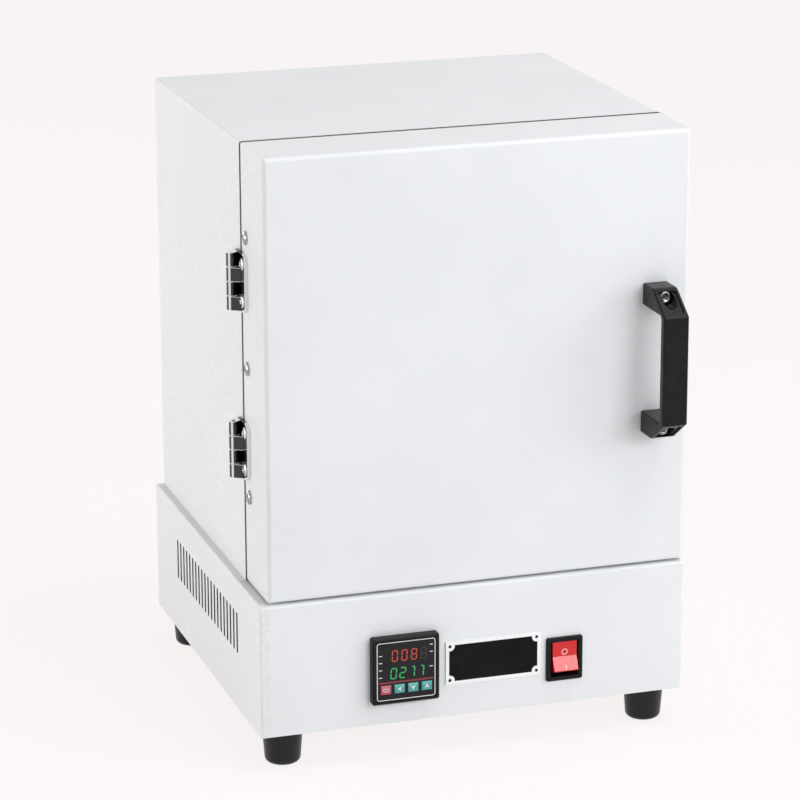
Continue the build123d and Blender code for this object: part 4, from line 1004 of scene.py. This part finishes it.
def nameplateBorder():
    plateLow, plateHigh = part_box("nameplate")
    low, high = Vector((plateLow.x, plateLow.z)) / mm, Vector((plateHigh.x, plateHigh.z)) / mm
    skirt, side = border["skirt"], border["side"]
    insetX, insetZ = border["inset"]
    outer = rectangle(low.x - skirt, low.y - skirt, high.x + skirt, high.y + skirt)
    field, holes = [], []
    corners = [(low.x, low.y, 1, 1), (high.x, low.y, -1, 1), (high.x, high.y, -1, -1), (low.x, high.y, 1, -1)]
    for x, z, signX, signZ in corners:
        cx, cz = x + signX * insetX, z + signZ * insetZ
        field += notchPoints(cx, cz, x + signX * side, z + signZ * side, signX, signZ)
        holes.append(circlePoints(cx, cz, border["fixing"], border["fixingSteps"]))
    loops = [outer, field] + holes
    points = [point for loop in loops for point in loop]
    triangles = tessellate_polygon([[Vector((x, z, 0)) for x, z in loop] for loop in loops])
    bm = bmesh.new()
    verts = [bm.verts.new((x * mm, plateLow.y - border["proud"] * mm, z * mm)) for x, z in points]
    for triangle in triangles:
        bm.faces.new([verts[n] for n in triangle])
    bmesh.ops.recalc_face_normals(bm, faces=bm.faces)
    raised = bmesh.ops.extrude_face_region(bm, geom=list(bm.faces))
    sunk = border["sunk"] * mm
    for item in raised["geom"]:
        if isinstance(item, bmesh.types.BMVert):
            onEdge = not (low.x < item.co.x / mm < high.x and low.y < item.co.z / mm < high.y)
            item.co.y = plateHigh.y - sunk if onEdge else plateLow.y + sunk
    addPiece("nameplate_border", bm, "cabinet", printedInk("white enamel", border["white"]))


nameplateBorder()
print("nameplate border made")

rocker = {"ringZ": 63.9, "ring": 2.2, "stroke": 0.5, "barZ": 53.6, "barTall": 3.6,
          "ink": (0.80, 0.78, 0.77), "proud": 0.03, "sunk": 0.05}


def rockerMarks():
    low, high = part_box("switch_rocker")
    x = (low.x + high.x) / 2 / mm
    outer = circlePoints(x, rocker["ringZ"], rocker["ring"])
    inner = circlePoints(x, rocker["ringZ"], rocker["ring"] - rocker["stroke"])
    half, tall = rocker["stroke"] / 2, rocker["barTall"] / 2
    bar = rectangle(x - half, rocker["barZ"] - tall, x + half, rocker["barZ"] + tall)
    stamp("rocker_marks", ringCells(outer, inner) + [bar], "switch_rocker", "switch_rocker", "red_rocker",
          printedInk("rocker ink", rocker["ink"]), rocker["proud"], rocker["sunk"])


rockerMarks()
print("rocker marks made")

# Heating elements as wound wire, in millimetres
coil = {
    "wire": 0.7,  # radius of the wire
    "sides": 8,
    "pitch": 3.1,
    "steps": 14,  # points in one turn
    "runs": 4,
    "rearMargin": 29.0,  # in front of the rear block
    "runSteps": 60,
    "bendSteps": 24,
    "tail": 4.0,
}


# Centre line of the winding: straight runs joined by half circles
def coilPath(low, high):
    radius = (high.x - low.x) / 2
    x = (low.x + high.x) / 2
    firstZ, lastZ = low.z + radius, high.z - radius
    pitch = (lastZ - firstZ) / (coil["runs"] - 1)
    frontY = low.y + radius + pitch / 2
    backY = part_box("insulation_rear")[0].y - coil["rearMargin"] * mm
    runSteps, bendSteps = coil["runSteps"], coil["bendSteps"]
    path = []
    for run in range(coil["runs"]):
        z = firstZ + run * pitch
        ends = (backY, frontY) if run % 2 == 0 else (frontY, backY)
        for n in range(runSteps + 1):
            path.append(Vector((x, ends[0] + (ends[1] - ends[0]) * n / runSteps, z)))
        if run < coil["runs"] - 1:
            sign = -1 if run % 2 == 0 else 1
            for n in range(1, bendSteps):
                angle = math.pi * n / bendSteps
                path.append(Vector((x, ends[1] + sign * pitch / 2 * math.sin(angle),
                                    z + pitch / 2 * (1 - math.cos(angle)))))
    return path


# Points of the wire that winds round a path
def windingPoints(path, radius):
    lengths = [0.0]
    for first, second in zip(path, path[1:]):
        lengths.append(lengths[-1] + (second - first).length)
    turns = round(lengths[-1] / (coil["pitch"] * mm))
    count = turns * coil["steps"]
    side = Vector((1, 0, 0))
    points = []
    k = 0
    for n in range(count + 1):
        distance = lengths[-1] * n / count
        while k < len(path) - 2 and lengths[k + 1] < distance:
            k += 1
        part = (distance - lengths[k]) / (lengths[k + 1] - lengths[k])
        centre = path[k].lerp(path[k + 1], part)
        along = (path[k + 1] - path[k]).normalized()
        rise = along.cross(side)
        angle = 2 * math.pi * turns * n / count
        points.append(centre + radius * (math.cos(angle) * side + math.sin(angle) * rise))
    return points


# Round wire swept along points
def addWire(bm, points, radius, sides):
    loops = []
    normal = (points[1] - points[0]).normalized().orthogonal().normalized()
    for n, point in enumerate(points):
        before, after = points[max(0, n - 1)], points[min(len(points) - 1, n + 1)]
        along = (after - before).normalized()
        normal = (normal - along * normal.dot(along)).normalized()
        aside = along.cross(normal)
        angles = [2 * math.pi * s / sides for s in range(sides)]
        loops.append([bm.verts.new(point + radius * (math.cos(a) * normal + math.sin(a) * aside))
                      for a in angles])
    joinLoops(bm, loops)
    closeEnds(bm, loops)


# Each end of the winding goes straight back from the axis of its run
def woundWire(name, nodeName):
    low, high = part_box(nodeName)
    path = coilPath(low, high)
    points = windingPoints(path, (high.x - low.x) / 2 - coil["wire"] * mm)
    tail = Vector((0, coil["tail"] * mm, 0))
    starts, stops = ([Vector((end.x, high.y, end.z)), end + tail] for end in (path[0], path[-1]))
    bm = bmesh.new()
    addWire(bm, starts + points + stops[::-1], coil["wire"] * mm, coil["sides"])
    addPiece(name, bm, "cabinet", finishes["element_wire"], [nodeName])


woundWire("element_winding_left", "heating_element_left")
woundWire("element_winding_right", "heating_element_right")
print("heating elements wound")

# Camera; offset is in metres from the floor point under the middle of the door's front
view = {"offset": (-0.7398, -2.1199, 0.9157), "turn": -17.859, "tilt": 90 - 16.487, "roll": -0.173,
        "lens": 156.41, "sensor": 36.0, "farEnd": 50.0}


def addCamera():
    data = bpy.data.cameras.new("camera")
    data.lens = view["lens"]
    data.sensor_width = view["sensor"]
    data.clip_end = view["farEnd"]
    camera = bpy.data.objects.new("camera", data)
    turn = (Matrix.Rotation(math.radians(view["turn"]), 4, "Z")
            @ Matrix.Rotation(math.radians(view["tilt"]), 4, "X")
            @ Matrix.Rotation(math.radians(view["roll"]), 4, "Z"))
    doorMiddle = Vector(((doorLow.x + doorHigh.x) / 2, doorLow.y, 0))
    camera.matrix_world = Matrix.Translation(doorMiddle + Vector(view["offset"])) @ turn
    scene.collection.objects.link(camera)
    scene.camera = camera


addCamera()

studio = {
    "floor": (0.86, 0.855, 0.85),
    "floorShade": 0.97,  # tone of the floor's darker clouds
    "floorRoughness": 0.7,
    "floorSize": 30.0,
    "floorGlow": 0.86,  # how far the floor goes to the background colour in the camera's eyes
    "background": (1.0, 0.966, 0.957),
    "world": (0.93, 0.96, 1.0),
    "worldStrength": 0.45,
}


# 1 for rays that show the background itself
def seenDirectly(f):
    paths = [f.node("ShaderNodeLightPath", output=name)
             for name in ("Is Camera Ray", "Is Glossy Ray", "Is Transmission Ray")]
    return f.node("ShaderNodeClamp", {}, {"Value": paths[0] + paths[1] + paths[2]})


def addFloor():
    f = Finish("studio floor")
    shaded = tuple(studio["floorShade"] * part for part in studio["floor"])
    lit = f.node("ShaderNodeBsdfPrincipled", {}, {
        "Base Color": f.mix(f.noise(900.0, 2, 0.5), studio["floor"], shaded),
        "Roughness": studio["floorRoughness"],
        "Normal": f.bump(f.noise(1.5, 3, 0.6), 0.01),
    })
    shown = f.node("ShaderNodeEmission", {}, {"Color": studio["background"], "Strength": 1.0})
    factor = seenDirectly(f) * studio["floorGlow"]
    mixed = f.node("ShaderNodeMixShader", {}, {0: factor, 1: lit, 2: shown})
    f.node("ShaderNodeOutputMaterial", {}, {"Surface": mixed})
    half = studio["floorSize"] / 2
    bm = bmesh.new()
    bm.faces.new([bm.verts.new((x, y, 0)) for x, y in rectangle(-half, -half, half, half)])
    mesh = bpy.data.meshes.new("studio_floor")
    bm.to_mesh(mesh)
    bm.free()
    mesh.materials.append(f.material)
    floor = bpy.data.objects.new("studio_floor", mesh)
    scene.collection.objects.link(floor)


addFloor()


def setWorld():
    world = bpy.data.worlds.new("studio")
    world.use_nodes = True
    scene.world = world
    f = NodeSet(world.node_tree)
    light = f.node("ShaderNodeBackground", {}, {"Color": studio["world"],
                                                "Strength": studio["worldStrength"]})
    shown = f.node("ShaderNodeBackground", {}, {"Color": studio["background"], "Strength": 1.0})
    mixed = f.node("ShaderNodeMixShader", {}, {0: seenDirectly(f), 1: light, 2: shown})
    f.node("ShaderNodeOutputWorld", {}, {"Surface": mixed})


setWorld()

# Soft lamps; places, aims and sizes are in metres
softLights = {
    "key_front": {"place": (0.78, -2.05, 1.14), "aim": (0.0, 0.0, 0.2), "size": (1.0, 0.7),
                  "watts": 14.5, "colour": (0.97, 0.985, 1.0)},
    "side_right": {"place": (1.9, -1.3, 0.9), "aim": (0.0, 0.0, 0.25), "size": (1.0, 1.4),
                   "watts": 14.0, "colour": (0.97, 0.985, 1.0)},
    "fill_left": {"place": (-2.0, 0.4, 0.35), "aim": (0.0, 0.05, 0.12), "size": (1.4, 0.6),
                  "watts": 14.8, "colour": (1.0, 0.95, 0.90)},
    "back_fill": {"place": (-1.5, 2.1, 0.7), "aim": (0.0, 0.1, 0.2), "size": (1.2, 1.0),
                  "watts": 9.0, "colour": (1.0, 0.99, 0.98)},
    "overhead": {"place": (0.55, -0.5, 2.2), "aim": (0.0, 0.0, 0.3), "size": (0.8, 0.8),
                 "watts": 16.0, "colour": (0.99, 0.99, 1.0)},
}


def addLights():
    for name, lamp in softLights.items():
        data = bpy.data.lights.new(name, "AREA")
        data.shape = "RECTANGLE"
        data.size, data.size_y = lamp["size"]
        data.energy = lamp["watts"]
        data.color = lamp["colour"]
        light = bpy.data.objects.new(name, data)
        light.location = lamp["place"]
        light.visible_camera = False  # other views would show it over the floor
        aim = Vector(lamp["aim"]) - Vector(lamp["place"])
        light.rotation_euler = aim.to_track_quat("-Z", "Y").to_euler()
        scene.collection.objects.link(light)


addLights()
scene.view_settings.view_transform = "Standard"
print("studio made")
